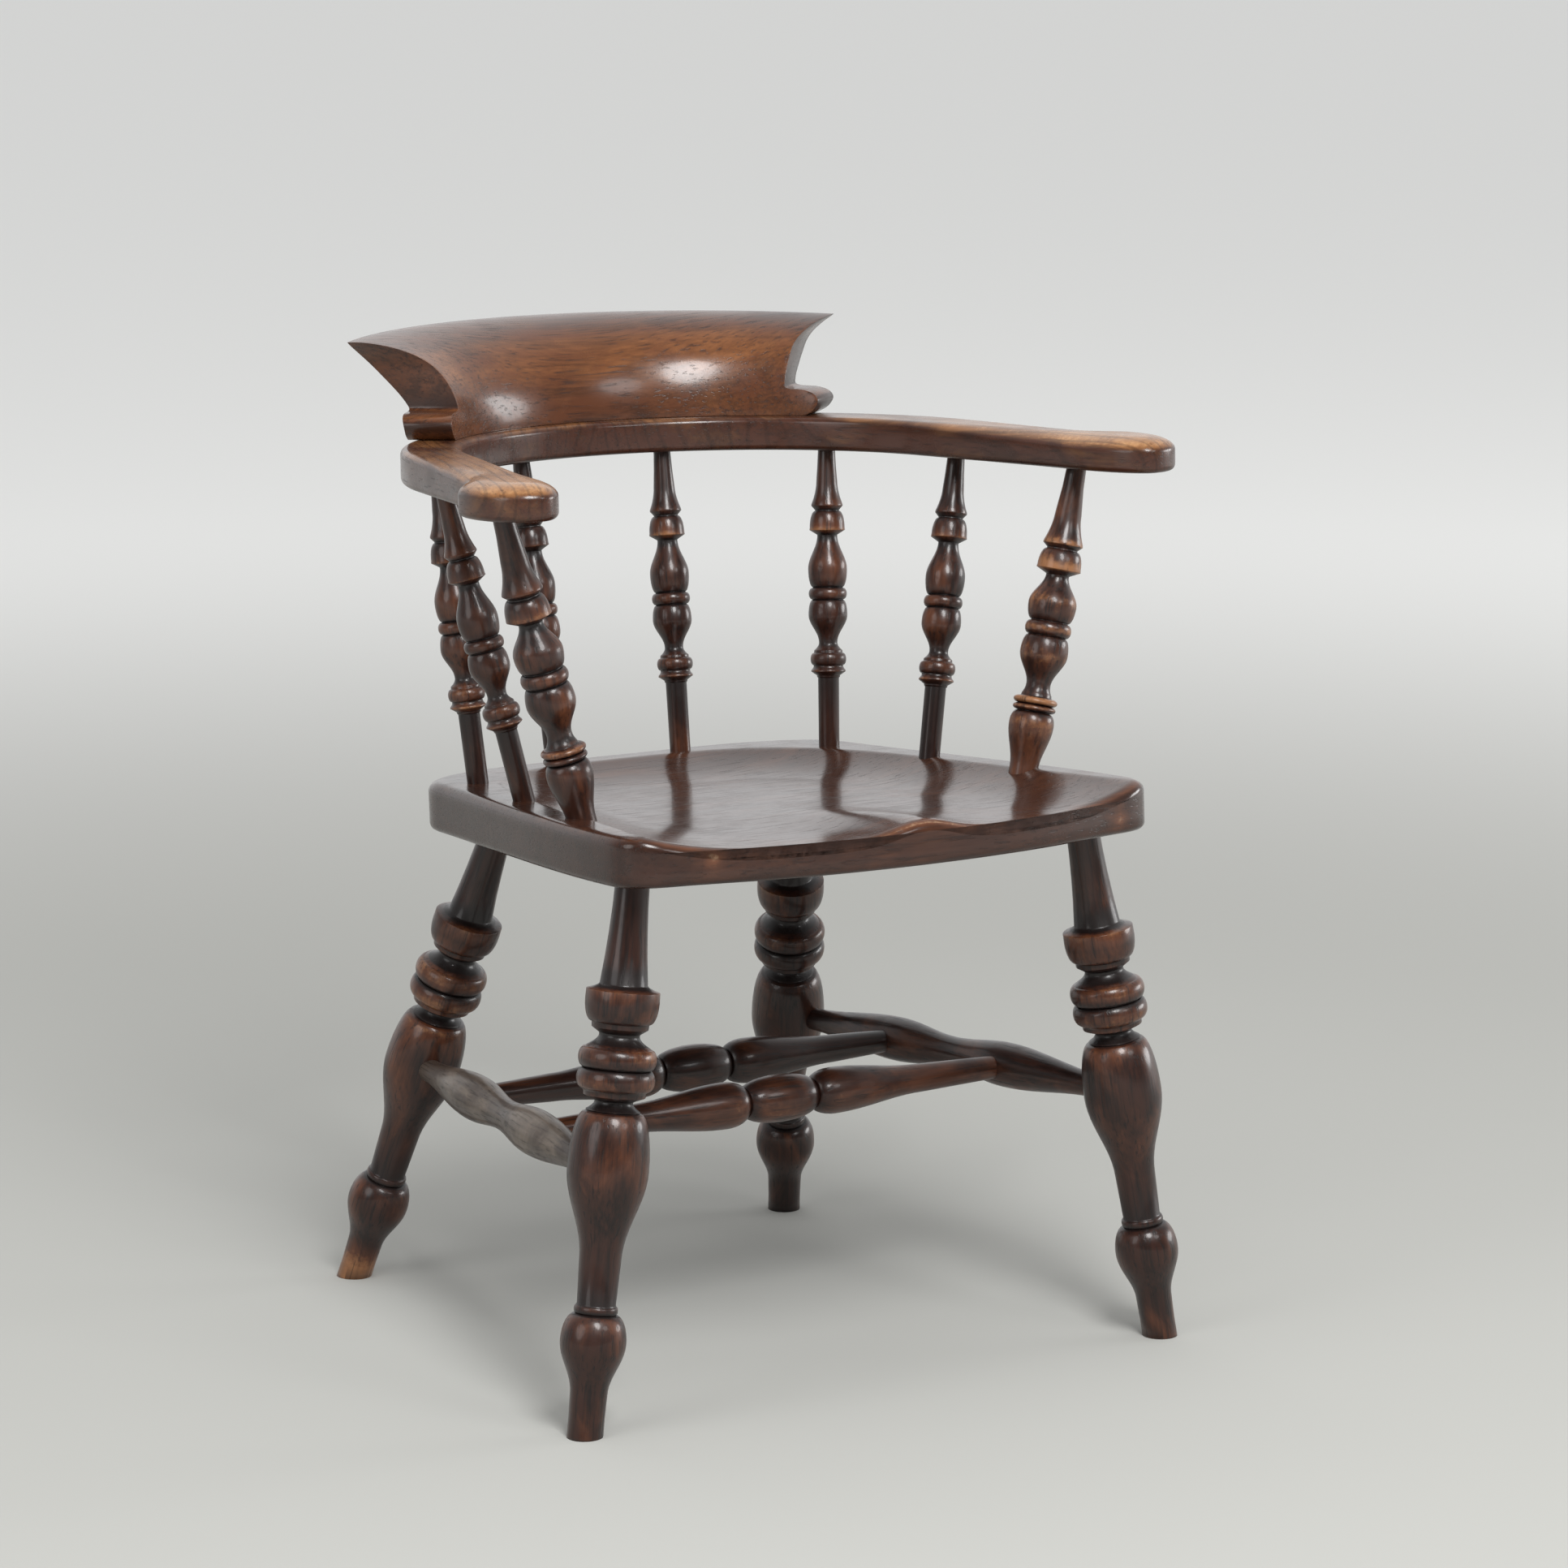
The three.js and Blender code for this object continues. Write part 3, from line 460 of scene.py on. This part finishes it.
# Six slim spindles behind and beside the sitter: a plain stem, two rings, a double belly with a ring
# between, a cup and a long flared neck that goes into the bow.
slim_turning = Outline(7.6, -24, [
    ("to", 8.3, -23), ("to", 8.5, 55), ("to", 9.3, 55.8), ("to", 9.4, 57), ("to", 14.1, 60.2),
    ("to", 13.9, 61.4), ("cove", 12, 64.6), ("to", 12.1, 65.4), ("bead", 14.5, 9.6), ("to", 11.6, 75.6),
    ("to", 11.5, 77.3), ("cove", 7.5, 83.2), ("to", 7.5, 84), ("ogee", 15.8, 106), ("close", 12.6, 118),
    ("to", 12.4, 118.4), ("bead", 15.5, 9.4), ("to", 12, 128.3), ("rise", 15.8, 143), ("ogee", 8.1, 170.5),
    ("to", 8.6, 171), ("to", 14.5, 174.6), ("to", 14.2, 176.4), ("close", 9.8, 190), ("to", 9.8, 190.8),
    ("to", 12.8, 194.2), ("to", 12.6, 195.6), ("cove", 8.5, 214), ("to", 7.6, 226), ("to", 6.9, 240),
    ("to", 6.8, 250),
])
seat_tenon = 24 * MM
slim_model = turn_piece("slim_model", slim_turning, sides=40)
soften(slim_model, width=0.25 * MM)
for side in ("left", "right"):
    for number, spot in enumerate(("side", "corner", "back")):
        node = f"spindle_{spot}_{side}"
        ends = axis_ends(node)
        place = placed(ends[0], ends[1]) @ Matrix.Translation((0, 0, seat_tenon))
        spindle = copy_of(slim_model, node + "_turning")
        spindle.data.transform(place)
        offset = (number * 0.29 + 5, 0.7 if side == "left" else 0.1, number * 0.17)
        store(spindle, place, offset, lambda p, facing: slim_turning.proud(p.z, 8 * MM) + 0.15)
        finish_piece(spindle, node, turned_stain)
bpy.data.objects.remove(slim_model)

# Two heavier arm posts at the front of the bow, with a vase instead of the plain stem.
post_turning = Outline(10.4, -24, [
    ("to", 11.2, -23), ("to", 11.2, 0), ("ogee", 17.6, 34.5), ("close", 13, 44), ("to", 12.8, 44.4),
    ("bead", 16.9, 5.4), ("bead", 17.3, 6), ("to", 12, 56.4), ("to", 11.8, 58), ("cove", 9.6, 64.6),
    ("to", 9.5, 65.6), ("ogee", 18.8, 90.5), ("close", 14.8, 103.6), ("to", 14.6, 104), ("bead", 18.2, 11),
    ("to", 14.4, 115.6), ("rise", 18.9, 129), ("ogee", 9, 152), ("to", 9.6, 152.6), ("to", 17.4, 156.4),
    ("to", 17.1, 158.6), ("close", 12, 172), ("to", 12, 173), ("to", 15.7, 176.2), ("to", 15.4, 178),
    ("cove", 10.4, 200), ("to", 8.4, 221), ("to", 7.7, 238), ("to", 7.6, 250),
])
for number, node in enumerate(["arm_post_left", "arm_post_right"]):
    ends = axis_ends(node)
    place = placed(ends[0], ends[1]) @ Matrix.Translation((0, 0, seat_tenon))
    post = turn_piece(node + "_turning", post_turning, sides=44)
    soften(post, width=0.25 * MM)
    post.data.transform(place)
    warmth = 0.8 if number == 0 else 0.15
    offset = (number * 0.5 + 7, 0.3, 0.2)
    store(post, place, offset, lambda p, facing: post_turning.proud(p.z, 9 * MM) + warmth)
    finish_piece(post, node, turned_stain)

# The seat is one thick board, sawn to its outline and hollowed as a saddle with a ridge between the
# thighs. A flat border is left at the sides and back for the spindles, and the edges are rounded.
seat_polish = waxed_wood(
    "waxed_seat", [(26, 15, 12), (56, 33, 24), (100, 61, 40), (172, 142, 112)], 0.2, 0.6, 0.4
)
seat_thick = 38 * MM
seat_fall = math.radians(3.5)
seat_middle = Vector((0, -60 * MM, 0))
seat_points = 176
seat_top_rings = 76
seat_round = 8 * MM
seat_round_steps = 6
seat_under_round = 5 * MM
seat_under_steps = 4
seat_smooth_below = math.radians(50)
hollow_depth = 14 * MM
hollow_half_width = 176 * MM
hollow_taper = 0.155
hollow_back = 150 * MM
hollow_squareness = 3.4
hollow_slope = 0.42
ridge_height = 10 * MM
ridge_half_width = 34 * MM
ridge_start = -90 * MM
ridge_run = 190 * MM

# The half outline from the middle of the front to the middle of the back, in five drawn curves.
seat_curves = [
    [(0, -302), (115.5, -302), (160, -274), (197, -268)],
    [(197, -268), (224, -263), (231, -252), (231, -234)],
    [(231, -234), (231, -134), (204, 0), (190, 119)],
    [(190, 119), (186, 150), (159, 181), (66, 181)],
    [(66, 181), (44, 181), (22, 181), (0, 181)],
]


def seat_outline(count):
    path = []
    for curve in seat_curves:
        knots = [Vector((x * MM, y * MM, 0)) for x, y in curve]
        path += interpolate_bezier(*knots, 40)[:-1]
    path.append(Vector((0, seat_curves[-1][-1][1] * MM, 0)))
    runs = [0]
    for last, point in zip(path, path[1:]):
        runs.append(runs[-1] + (point - last).length)
    outline = []
    for k in range(count // 2 + 1):
        run = runs[-1] * k / (count // 2)
        i = min(max(bisect.bisect_left(runs, run), 1), len(runs) - 1)
        share = (run - runs[i - 1]) / (runs[i] - runs[i - 1])
        outline.append(path[i - 1].lerp(path[i], share))
    return outline + [Vector((-p.x, p.y, 0)) for p in reversed(outline[1:-1])]


def seat_hollow(x, y):
    across = abs(x) / (hollow_half_width - hollow_taper * y)
    backward = max(0, y - seat_middle.y) / (hollow_back - seat_middle.y)
    edge = (across ** hollow_squareness + backward ** hollow_squareness) ** (1 / hollow_squareness)
    inside = min(max((1 - edge) / hollow_slope, 0), 1)
    hollow = 1 - (1 - inside) ** 2
    ridge = math.exp(-((x / ridge_half_width) ** 2)) * smooth_share(ridge_start - y, ridge_run)
    return (hollow_depth - ridge_height * ridge) * hollow


bpy.ops.object.select_all(action="DESELECT")
bpy.ops.mesh.primitive_circle_add(
    vertices=seat_points, radius=1, fill_type="NGON", location=(0, 0, 0)
)
seat = bpy.context.object
seat.name = "seat_board"
seat_half_width = seat_curves[2][0][0] * MM
under_share = 1 - seat_under_round / seat_half_width
for vertex, point in zip(seat.data.vertices, seat_outline(seat_points)):
    vertex.co = seat_middle + (point - seat_middle) * under_share - Vector((0, 0, seat_thick))

# Rings from the underside round the edge and in over the top: the outline's share, and the height.
levels = [(under_share, -seat_thick)]
for k in range(1, seat_under_steps + 1):
    turn = quarter_turn * k / seat_under_steps
    levels.append((
        1 - (1 - under_share) * (1 - math.sin(turn)),
        -seat_thick + seat_under_round * (1 - math.cos(turn)),
    ))
levels += [(1, -seat_thick * share) for share in (0.7, 0.5, 0.33)]
top_share = 1 - seat_round / seat_half_width
for k in range(seat_round_steps + 1):
    turn = quarter_turn * k / seat_round_steps
    levels.append((1 - (1 - top_share) * (1 - math.cos(turn)), -seat_round * (1 - math.sin(turn))))
levels += [(top_share * (1 - k / seat_top_rings), 0) for k in range(1, seat_top_rings)]
bpy.ops.object.mode_set(mode="EDIT")
bpy.ops.mesh.select_all(action="SELECT")
for (last, low), (share, high) in zip(levels, levels[1:]):
    bpy.ops.mesh.extrude_region_move(TRANSFORM_OT_translate={"value": (0, 0, high - low)})
    bpy.ops.transform.resize(value=(share / last, share / last, 1), center_override=seat_middle)
bpy.ops.mesh.merge(type="CENTER")
bpy.ops.object.mode_set(mode="OBJECT")
face_outwards()
for vertex in seat.data.vertices:
    if vertex.co.z > -seat_round - 1e-6:
        vertex.co.z -= seat_hollow(vertex.co.x, vertex.co.y)
seat.data.transform(Matrix.Rotation(-seat_fall, 4, "X"))
low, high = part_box("seat")
mesh_low_y = min(v.co.y for v in seat.data.vertices)
mesh_low_z = min(v.co.z for v in seat.data.vertices)
seat_place = Matrix.Translation((0, low.y - mesh_low_y, low.z - mesh_low_z))
seat.data.transform(seat_place)
bpy.ops.object.shade_smooth_by_angle(angle=seat_smooth_below)
along_x = Matrix.Rotation(quarter_turn, 4, "Y")
seat_frame = seat_place @ Matrix.Rotation(-seat_fall, 4, "X")


# Scuffed places on the front edge, in millimetres: x, y, z from the board's middle and the reach.
seat_scuffs = [(194, -268, -25, 9), (-168, -276, -20, 5)]


def seat_wear_and_painted_shade(local, facing):
    flat = along_x @ local
    scuffed = sum(
        math.exp(-(((flat - Vector(place) * MM).length / (reach * MM)) ** 2))
        for *place, reach in seat_scuffs
    )
    front = smooth_share(-flat.y - 250 * MM, 55 * MM)
    raised = flat.z + seat_hollow(flat.x, flat.y)
    edge = math.exp(-(((raised + 2 * MM) / (1.6 * MM)) ** 2))
    # Painted shade: the sides of the board, which face away from up, are darkened.
    side = 1 - smooth_share((along_x.to_3x3() @ facing).z - 0.2, 0.6)
    edge *= 0.2 + 0.7 * smooth_share(-flat.y - 235 * MM, 40 * MM)
    return front * 0.25 + edge - 0.3 * side + 1.5 * scuffed


store(seat, seat_frame @ along_x, (11, 3, 2), seat_wear_and_painted_shade)
finish_piece(seat, "seat", seat_polish)

# The arm bow is sawn flat from two boards and glued at a butt joint behind the sitter. Each half
# sweeps round into an arm that widens to a round pad, and its edges are rounded by hand.
arm_polish = waxed_wood(
    "waxed_arms", [(32, 18, 13), (68, 39, 28), (140, 96, 58), (184, 140, 96)], 0.26, 0.6, 0.5, 0.35
)
bow_columns = 120
bow_rows = 30
bow_crowding = 1.7
bow_thick = 27 * MM
bow_fall = math.radians(1.7)
bow_radius = 226 * MM
bow_back = 215 * MM
bow_arm_angle = math.radians(78.5)
bow_half_width = 24 * MM
butt_gap = 0.04 * MM
pad_start = 138 * MM
pad_bulge_at = 190 * MM
pad_length = 247 * MM
pad_bulge = 19 * MM
pad_inner_bulge = 2 * MM
pad_squareness = 2.3
under_round = 5 * MM
arm_start = bow_radius * bow_arm_angle
arm_grain_turn = 0.30
bow_smooth_below = math.radians(75)

# How far in from the edge the rounding of the top reaches, and how deep it is: behind, and at a pad.
back_rounding = Vector((6 * MM, 5 * MM))
pad_rounding = Vector((24 * MM, 11 * MM))
pad_rounding_from = 150 * MM
pad_rounding_run = 230 * MM


def beside_bow(along, out):
    angle = min(abs(along) / bow_radius, bow_arm_angle)
    arm = max(0, abs(along) - arm_start)
    x = (bow_radius + out) * math.sin(angle) + arm * math.cos(bow_arm_angle)
    y = (bow_radius + out) * math.cos(angle) - arm * math.sin(bow_arm_angle)
    return Vector((math.copysign(x, along), bow_back - bow_radius + y, 0))


def bow_point(along_share, across):
    """A point of the left half from above: share of its length, and -1 inside to 1 outside."""
    round_end = 1 - math.sqrt(max(0, 1 - abs(across) ** pad_squareness))
    nose = pad_length - (pad_length - pad_bulge_at) * round_end
    along = along_share * (arm_start + nose)
    swell = smooth_share(along - arm_start - pad_start, pad_bulge_at - pad_start)
    outer = bow_half_width + pad_bulge * swell
    inner = bow_half_width + pad_inner_bulge * swell
    return beside_bow(along, outer * across if across > 0 else inner * across)


def rounding(distance, reach, depth):
    """How far a quarter ellipse lies below the flat, at a distance in from the edge."""
    inward = 1 - min(distance / reach, 1)
    return depth * (1 - math.sqrt(1 - inward ** 2))


# The edge of a half as a line of close points: along the inside, round the end and back outside.
side_steps = 1000
nose_steps = 200
nose_turns = [k / nose_steps * math.pi / 2 for k in range(-nose_steps, nose_steps + 1)]
bow_rim = [bow_point(k / side_steps, -1) for k in range(side_steps)]
bow_rim += [bow_point(1, math.sin(turn)) for turn in nose_turns]
bow_rim += [bow_point(k / side_steps, 1) for k in reversed(range(side_steps))]
rim_tree = KDTree(len(bow_rim))
for index, spot in enumerate(bow_rim):
    rim_tree.insert(spot, index)
rim_tree.balance()


def from_bow_rim(point):
    """How far in from the edge line a point of the half lies."""
    near = min(max(rim_tree.find(point)[1], 1), len(bow_rim) - 2)
    distances = []
    for start, end in ((near - 1, near), (near, near + 1)):
        _, share = intersect_point_line(point, bow_rim[start], bow_rim[end])
        foot = bow_rim[start].lerp(bow_rim[end], min(max(share, 0), 1))
        distances.append((point - foot).length)
    return min(distances)


def make_bow_half(name):
    """The left half, flat: a grid spread over its outline, given its thickness and then rounded."""
    bpy.ops.object.select_all(action="DESELECT")
    bpy.ops.mesh.primitive_grid_add(
        x_subdivisions=bow_columns, y_subdivisions=bow_rows, size=2, location=(0, 0, 0)
    )
    half = bpy.context.object
    half.name = name
    from_edge = []
    for vertex in half.data.vertices:
        along, across = (vertex.co.x + 1) / 2, math.sin(vertex.co.y * math.pi / 2)
        vertex.co = bow_point(1 - (1 - along) ** bow_crowding, across)
        vertex.co.x = max(vertex.co.x, butt_gap / 2)
        from_edge.append(from_bow_rim(vertex.co))
    bpy.ops.object.mode_set(mode="EDIT")
    bpy.ops.mesh.select_all(action="SELECT")
    bpy.ops.mesh.extrude_region_move(TRANSFORM_OT_translate={"value": (0, 0, bow_thick)})
    bpy.ops.object.mode_set(mode="OBJECT")
    face_outwards()
    for vertex in half.data.vertices:
        inward = from_edge[vertex.index % len(from_edge)]
        forward = smooth_share(bow_back - pad_rounding_from - vertex.co.y, pad_rounding_run)
        if vertex.co.z > bow_thick / 2:
            reach, depth = back_rounding.lerp(pad_rounding, forward)
            vertex.co.z -= rounding(inward, reach, depth)
        else:
            vertex.co.z += rounding(inward, under_round, under_round)
    return half


low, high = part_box("arm_bow_left")
bow_model = make_bow_half("bow_model")
bow_model.data.transform(Matrix.Rotation(-bow_fall, 4, "X"))
shift_y = high.y - max(v.co.y for v in bow_model.data.vertices)
shift_z = low.z - min(v.co.z for v in bow_model.data.vertices)
bow_place = Matrix.Translation((0, shift_y, shift_z))
bow_model.data.transform(bow_place)
bow_frame = bow_place @ Matrix.Rotation(-bow_fall, 4, "X")
bpy.ops.object.shade_smooth_by_angle(angle=bow_smooth_below)
for side in ("left", "right"):
    half = copy_of(bow_model, f"arm_bow_{side}_board")
    turn = arm_grain_turn if side == "left" else -arm_grain_turn
    if side == "right":
        half.data.transform(Matrix.Scale(-1, 4, (1, 0, 0)))
        select_only(half)
        face_outwards()
    along_arm = Matrix.Rotation(turn, 4, "Z") @ Matrix.Rotation(quarter_turn, 4, "X")
    grain_frame = bow_frame @ along_arm
    top = bow_frame.inverted()

    def arm_wear_and_painted_light(local, facing, grain_frame=grain_frame):
        flat = top @ (grain_frame @ local)
        # The tops are lighter, as wear from hands and as a painted sheen, and the sides, which face away
        # from up, are darker as painted shade.
        up = smooth_share(((top @ grain_frame).to_3x3() @ facing).z - 0.25, 0.6)
        forward = smooth_share(140 * MM - flat.y, 240 * MM)
        return up * (0.6 + 0.7 * forward) - 0.2

    store(half, grain_frame, (13 if side == "left" else 17, 5, 1), arm_wear_and_painted_light)
    finish_piece(half, f"arm_bow_{side}", arm_polish)
bpy.data.objects.remove(bow_model)

# The crest rail is cut from one thick block: a hollow front sweeps back to a thin top edge, and each
# end has a scroll foot below a cusp. It laps the joint of the bow and is screwed on from below.
crest_polish = waxed_wood(
    "waxed_crest", [(40, 22, 15), (86, 50, 31), (134, 86, 50), (168, 120, 80)], 0.24, 0.9, 0.35
)
crest_height = 76 * MM
crest_depth = 98 * MM
crest_half_length = 201 * MM
crest_lift = 5 * MM
crest_gap = 0.3 * MM
crest_across = 90
crest_around = 119

# Rows from the foot up, in shares: the height, and the end of the length at that height.
crest_ends = [
    (0, 0.945), (0.06, 0.98), (0.15, 1), (0.22, 0.985), (0.265, 0.94), (0.285, 0.862),
    (0.36, 0.852), (0.5, 0.857), (0.62, 0.863), (0.73, 0.87), (0.82, 0.885), (0.9, 0.908),
    (0.96, 0.93), (1, 0.945),
]


def crest_row(share):
    """The height and the end of a row between the drawn ones, on a smooth curve through them."""
    place = share * (len(crest_ends) - 1)
    i = min(int(place), len(crest_ends) - 2)
    t = place - i
    picks = [crest_ends[min(max(i + k, 0), len(crest_ends) - 1)] for k in (-1, 0, 1, 2)]
    row = []
    for a, b, c, d in zip(*picks):
        bend = 2 * a - 5 * b + 4 * c - d
        twist = 3 * b - a - 3 * c + d
        row.append(0.5 * (2 * b + (c - a) * t + bend * t ** 2 + twist * t ** 3))
    return row


def crest_point(length_share, around):
    """A point of the crest: -1 to 1 along it, and 0 to 1 up the front and down the back."""
    at_front = around <= 0.5
    up = around * 2 if at_front else 2 - around * 2
    height, end = crest_row(up * (1.6 - 0.6 * up))
    lift = crest_lift * (1 - length_share ** 2)

    # Both faces in shares of the depth: the front leans back and then sweeps out at the top edge.
    front = 0.12 + 0.28 * height ** 2 + 0.55 * (1 - math.sqrt(max(0, 1 - height ** 5)))
    back = 0.51 + 0.49 * smooth_share(height - 0.1, 1.05) * 1.035
    out = (front if at_front else back) * crest_depth - bow_half_width
    point = beside_bow(length_share * end * crest_half_length, out)
    point.z = bow_thick + crest_gap + height * (crest_height + lift)
    return point


bpy.ops.object.select_all(action="DESELECT")
bpy.ops.mesh.primitive_grid_add(
    x_subdivisions=crest_across, y_subdivisions=crest_around, size=2, location=(0, 0, 0)
)
crest = bpy.context.object
crest.name = "crest_rail_block"
end_chains = {}
for vertex in crest.data.vertices:
    length_share, around = round(vertex.co.x, 6), (vertex.co.y + 1) / 2
    if abs(length_share) > 0.999:
        end_chains[vertex.index] = (length_share > 0, around)
    vertex.co = crest_point(length_share, around)

# Each end is closed between the front's edge and the back's, row by row.
bpy.ops.object.mode_set(mode="EDIT")
bpy.ops.mesh.select_mode(type="EDGE")
for at_left in (True, False):
    bpy.ops.mesh.select_all(action="DESELECT")
    bpy.ops.object.mode_set(mode="OBJECT")
    for edge in crest.data.edges:
        ends = [end_chains.get(i) for i in edge.vertices]
        on_end = all(ends) and all(e[0] == at_left for e in ends)
        over_top = on_end and min(e[1] for e in ends) < 0.5 < max(e[1] for e in ends)
        edge.select = bool(on_end and not over_top)
    bpy.ops.object.mode_set(mode="EDIT")
    bpy.ops.mesh.bridge_edge_loops()
bpy.ops.mesh.select_all(action="SELECT")
bpy.ops.mesh.remove_doubles(threshold=merge_reach)
bpy.ops.object.mode_set(mode="OBJECT")
face_outwards()
soften(crest, width=1.6 * MM, segments=3, angle=40)

# The sawn underside closes the block once its other edges are rounded.
bpy.ops.object.mode_set(mode="EDIT")
bpy.ops.mesh.select_all(action="DESELECT")
bpy.ops.mesh.select_non_manifold(
    use_wire=False, use_multi_face=False, use_non_contiguous=False, use_verts=False
)
bpy.ops.mesh.edge_face_add()
bpy.ops.object.mode_set(mode="OBJECT")
face_outwards()
bpy.ops.object.shade_smooth_by_angle(angle=smooth_below)
crest.data.transform(bow_frame)
along_crest = bow_frame @ Matrix.Rotation(quarter_turn, 4, "Y")


def crest_wear_and_painted_light(local, facing):
    """Lighter at the middle height and darker towards the top edge, lighter on the edges of the ends as
    wear and a painted highlight, with painted shade on the end faces and towards the +X end.
    """
    flat = bow_frame.inverted() @ (along_crest @ local)
    turned = (bow_frame.inverted() @ along_crest).to_3x3() @ facing
    height = flat.z - bow_thick
    radial = Vector((flat.x, flat.y - bow_back + bow_radius)).normalized()
    endways = Vector((radial.y, -radial.x)).dot(turned.xy) * math.copysign(1, flat.x)
    outward = smooth_share(endways - 0.35, 0.35)
    # A lighter band on the edges of the ends: wear, and a painted highlight.
    arris_wear_and_highlight = math.exp(-(((endways - 0.6) / 0.25) ** 2))
    upper = smooth_share(height - 22 * MM, 24 * MM) - 1.6 * smooth_share(height - 62 * MM, 14 * MM)
    # Painted shade: the end faces, and more of the +X end, are darkened.
    painted_shade_on_ends = outward * 0.9 + 0.35 * smooth_share(flat.x - 120 * MM, 80 * MM)
    return 0.1 + upper * 0.45 + arris_wear_and_highlight * 0.8 - painted_shade_on_ends


store(crest, along_crest, (19, 7, 4), crest_wear_and_painted_light)
finish_piece(crest, "crest_rail", crest_polish)

# Four steel screws hold the crest, countersunk in the underside of the bow.
steel = Finish("darkened_steel")
tarnish = steel.noise(steel.add("TexCoord", {}, {}, output=3), 900, 3, 0.6)
steel_skin = steel.mix(tarnish, rgb(70, 66, 60), rgb(128, 122, 112))
steel.surface(Base_Color=steel_skin, Metallic=1.0, Roughness=0.35 + tarnish * 0.25)
for node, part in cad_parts.items():
    if node.startswith("crest_screw"):
        part.data.materials.clear()
        part.data.materials.append(steel.material)

# A pale studio: one wide plain floor, painted paler away from the chair as painted light where the lamps'
# light falls off, the light of a white wall behind the chair and a dimmer room in front of it, and soft
# windows before and beside it.
floor_size = 300
pale_from, pale_to = 1.3, 4.8
bpy.ops.mesh.primitive_plane_add(size=floor_size, location=(0, 0, 0))
floor = bpy.context.object
floor.name = "floor"
paint = Finish("pale_floor")
spot = paint.add("TexCoord", output=3)
away = paint.add("VectorMath", {"operation": "LENGTH"}, {0: spot}, output=1)
# Painted light: the floor's colour grows paler with distance from the chair, where the lamps light it
# less.
painted_far_light = paint.mix(paint.step(away, pale_from, pale_to), rgb(170, 170, 166), rgb(238, 238, 236))
floor.data.materials.append(paint.surface(Base_Color=painted_far_light, Roughness=0.9, Specular_IOR_Level=0))

world = bpy.data.worlds.new("studio")
bpy.context.scene.world = world
world.use_nodes = True
room = Nodes(world.node_tree)
direction = room.add("TexCoord")
to_wall = (0.5, 0.86, 0)
behind = room.add("VectorMath", {"operation": "DOT_PRODUCT"}, {0: direction, 1: to_wall}, output=1)
room_strength = 0.14
wall_strength = 0.8
glow = room.step(behind, -0.5, 0.9) * wall_strength + room_strength
background = world.node_tree.nodes["Background"]
background.inputs["Color"].default_value = (0.94, 0.95, 0.96, 1)
room.feed(background.inputs["Strength"], glow)


crest_middle = (0, 0.2, 0.7)


def lamp(name, place, aim, size, power):
    """A soft window or skylight, as a bright ellipse that faces the chair."""
    bpy.ops.object.light_add(type="AREA", location=place)
    light = bpy.context.object
    light.name = name
    light.data.shape = "ELLIPSE"
    light.data.size = size[0]
    light.data.size_y = size[1]
    light.data.energy = power
    light.rotation_euler = (Vector(aim) - Vector(place)).to_track_quat("-Z", "Y").to_euler()


lamp("window_left", (-3.4, -0.6, 1.8), (0, 0, 0.5), (2.0, 2.4), 32)
lamp("skylight_left", (-0.58, -2.52, 3.0), crest_middle, (1.2, 1.9), 120)
lamp("skylight_front", (0.93, -2.96, 2.1), crest_middle, (1.1, 0.9), 14)
lamp("window_right", (6.2, -1.36, 1.4), crest_middle, (3.4, 1.6), 120)
bpy.ops.object.light_add(type="SUN", location=(-1, -1, 4), rotation=(0.35, -0.3, 0))
daylight = bpy.context.object
daylight.name = "daylight"
daylight.data.energy = 1.2
daylight.data.angle = math.radians(70)
daylight.visible_glossy = False
bpy.context.scene.view_settings.view_transform = "Standard"
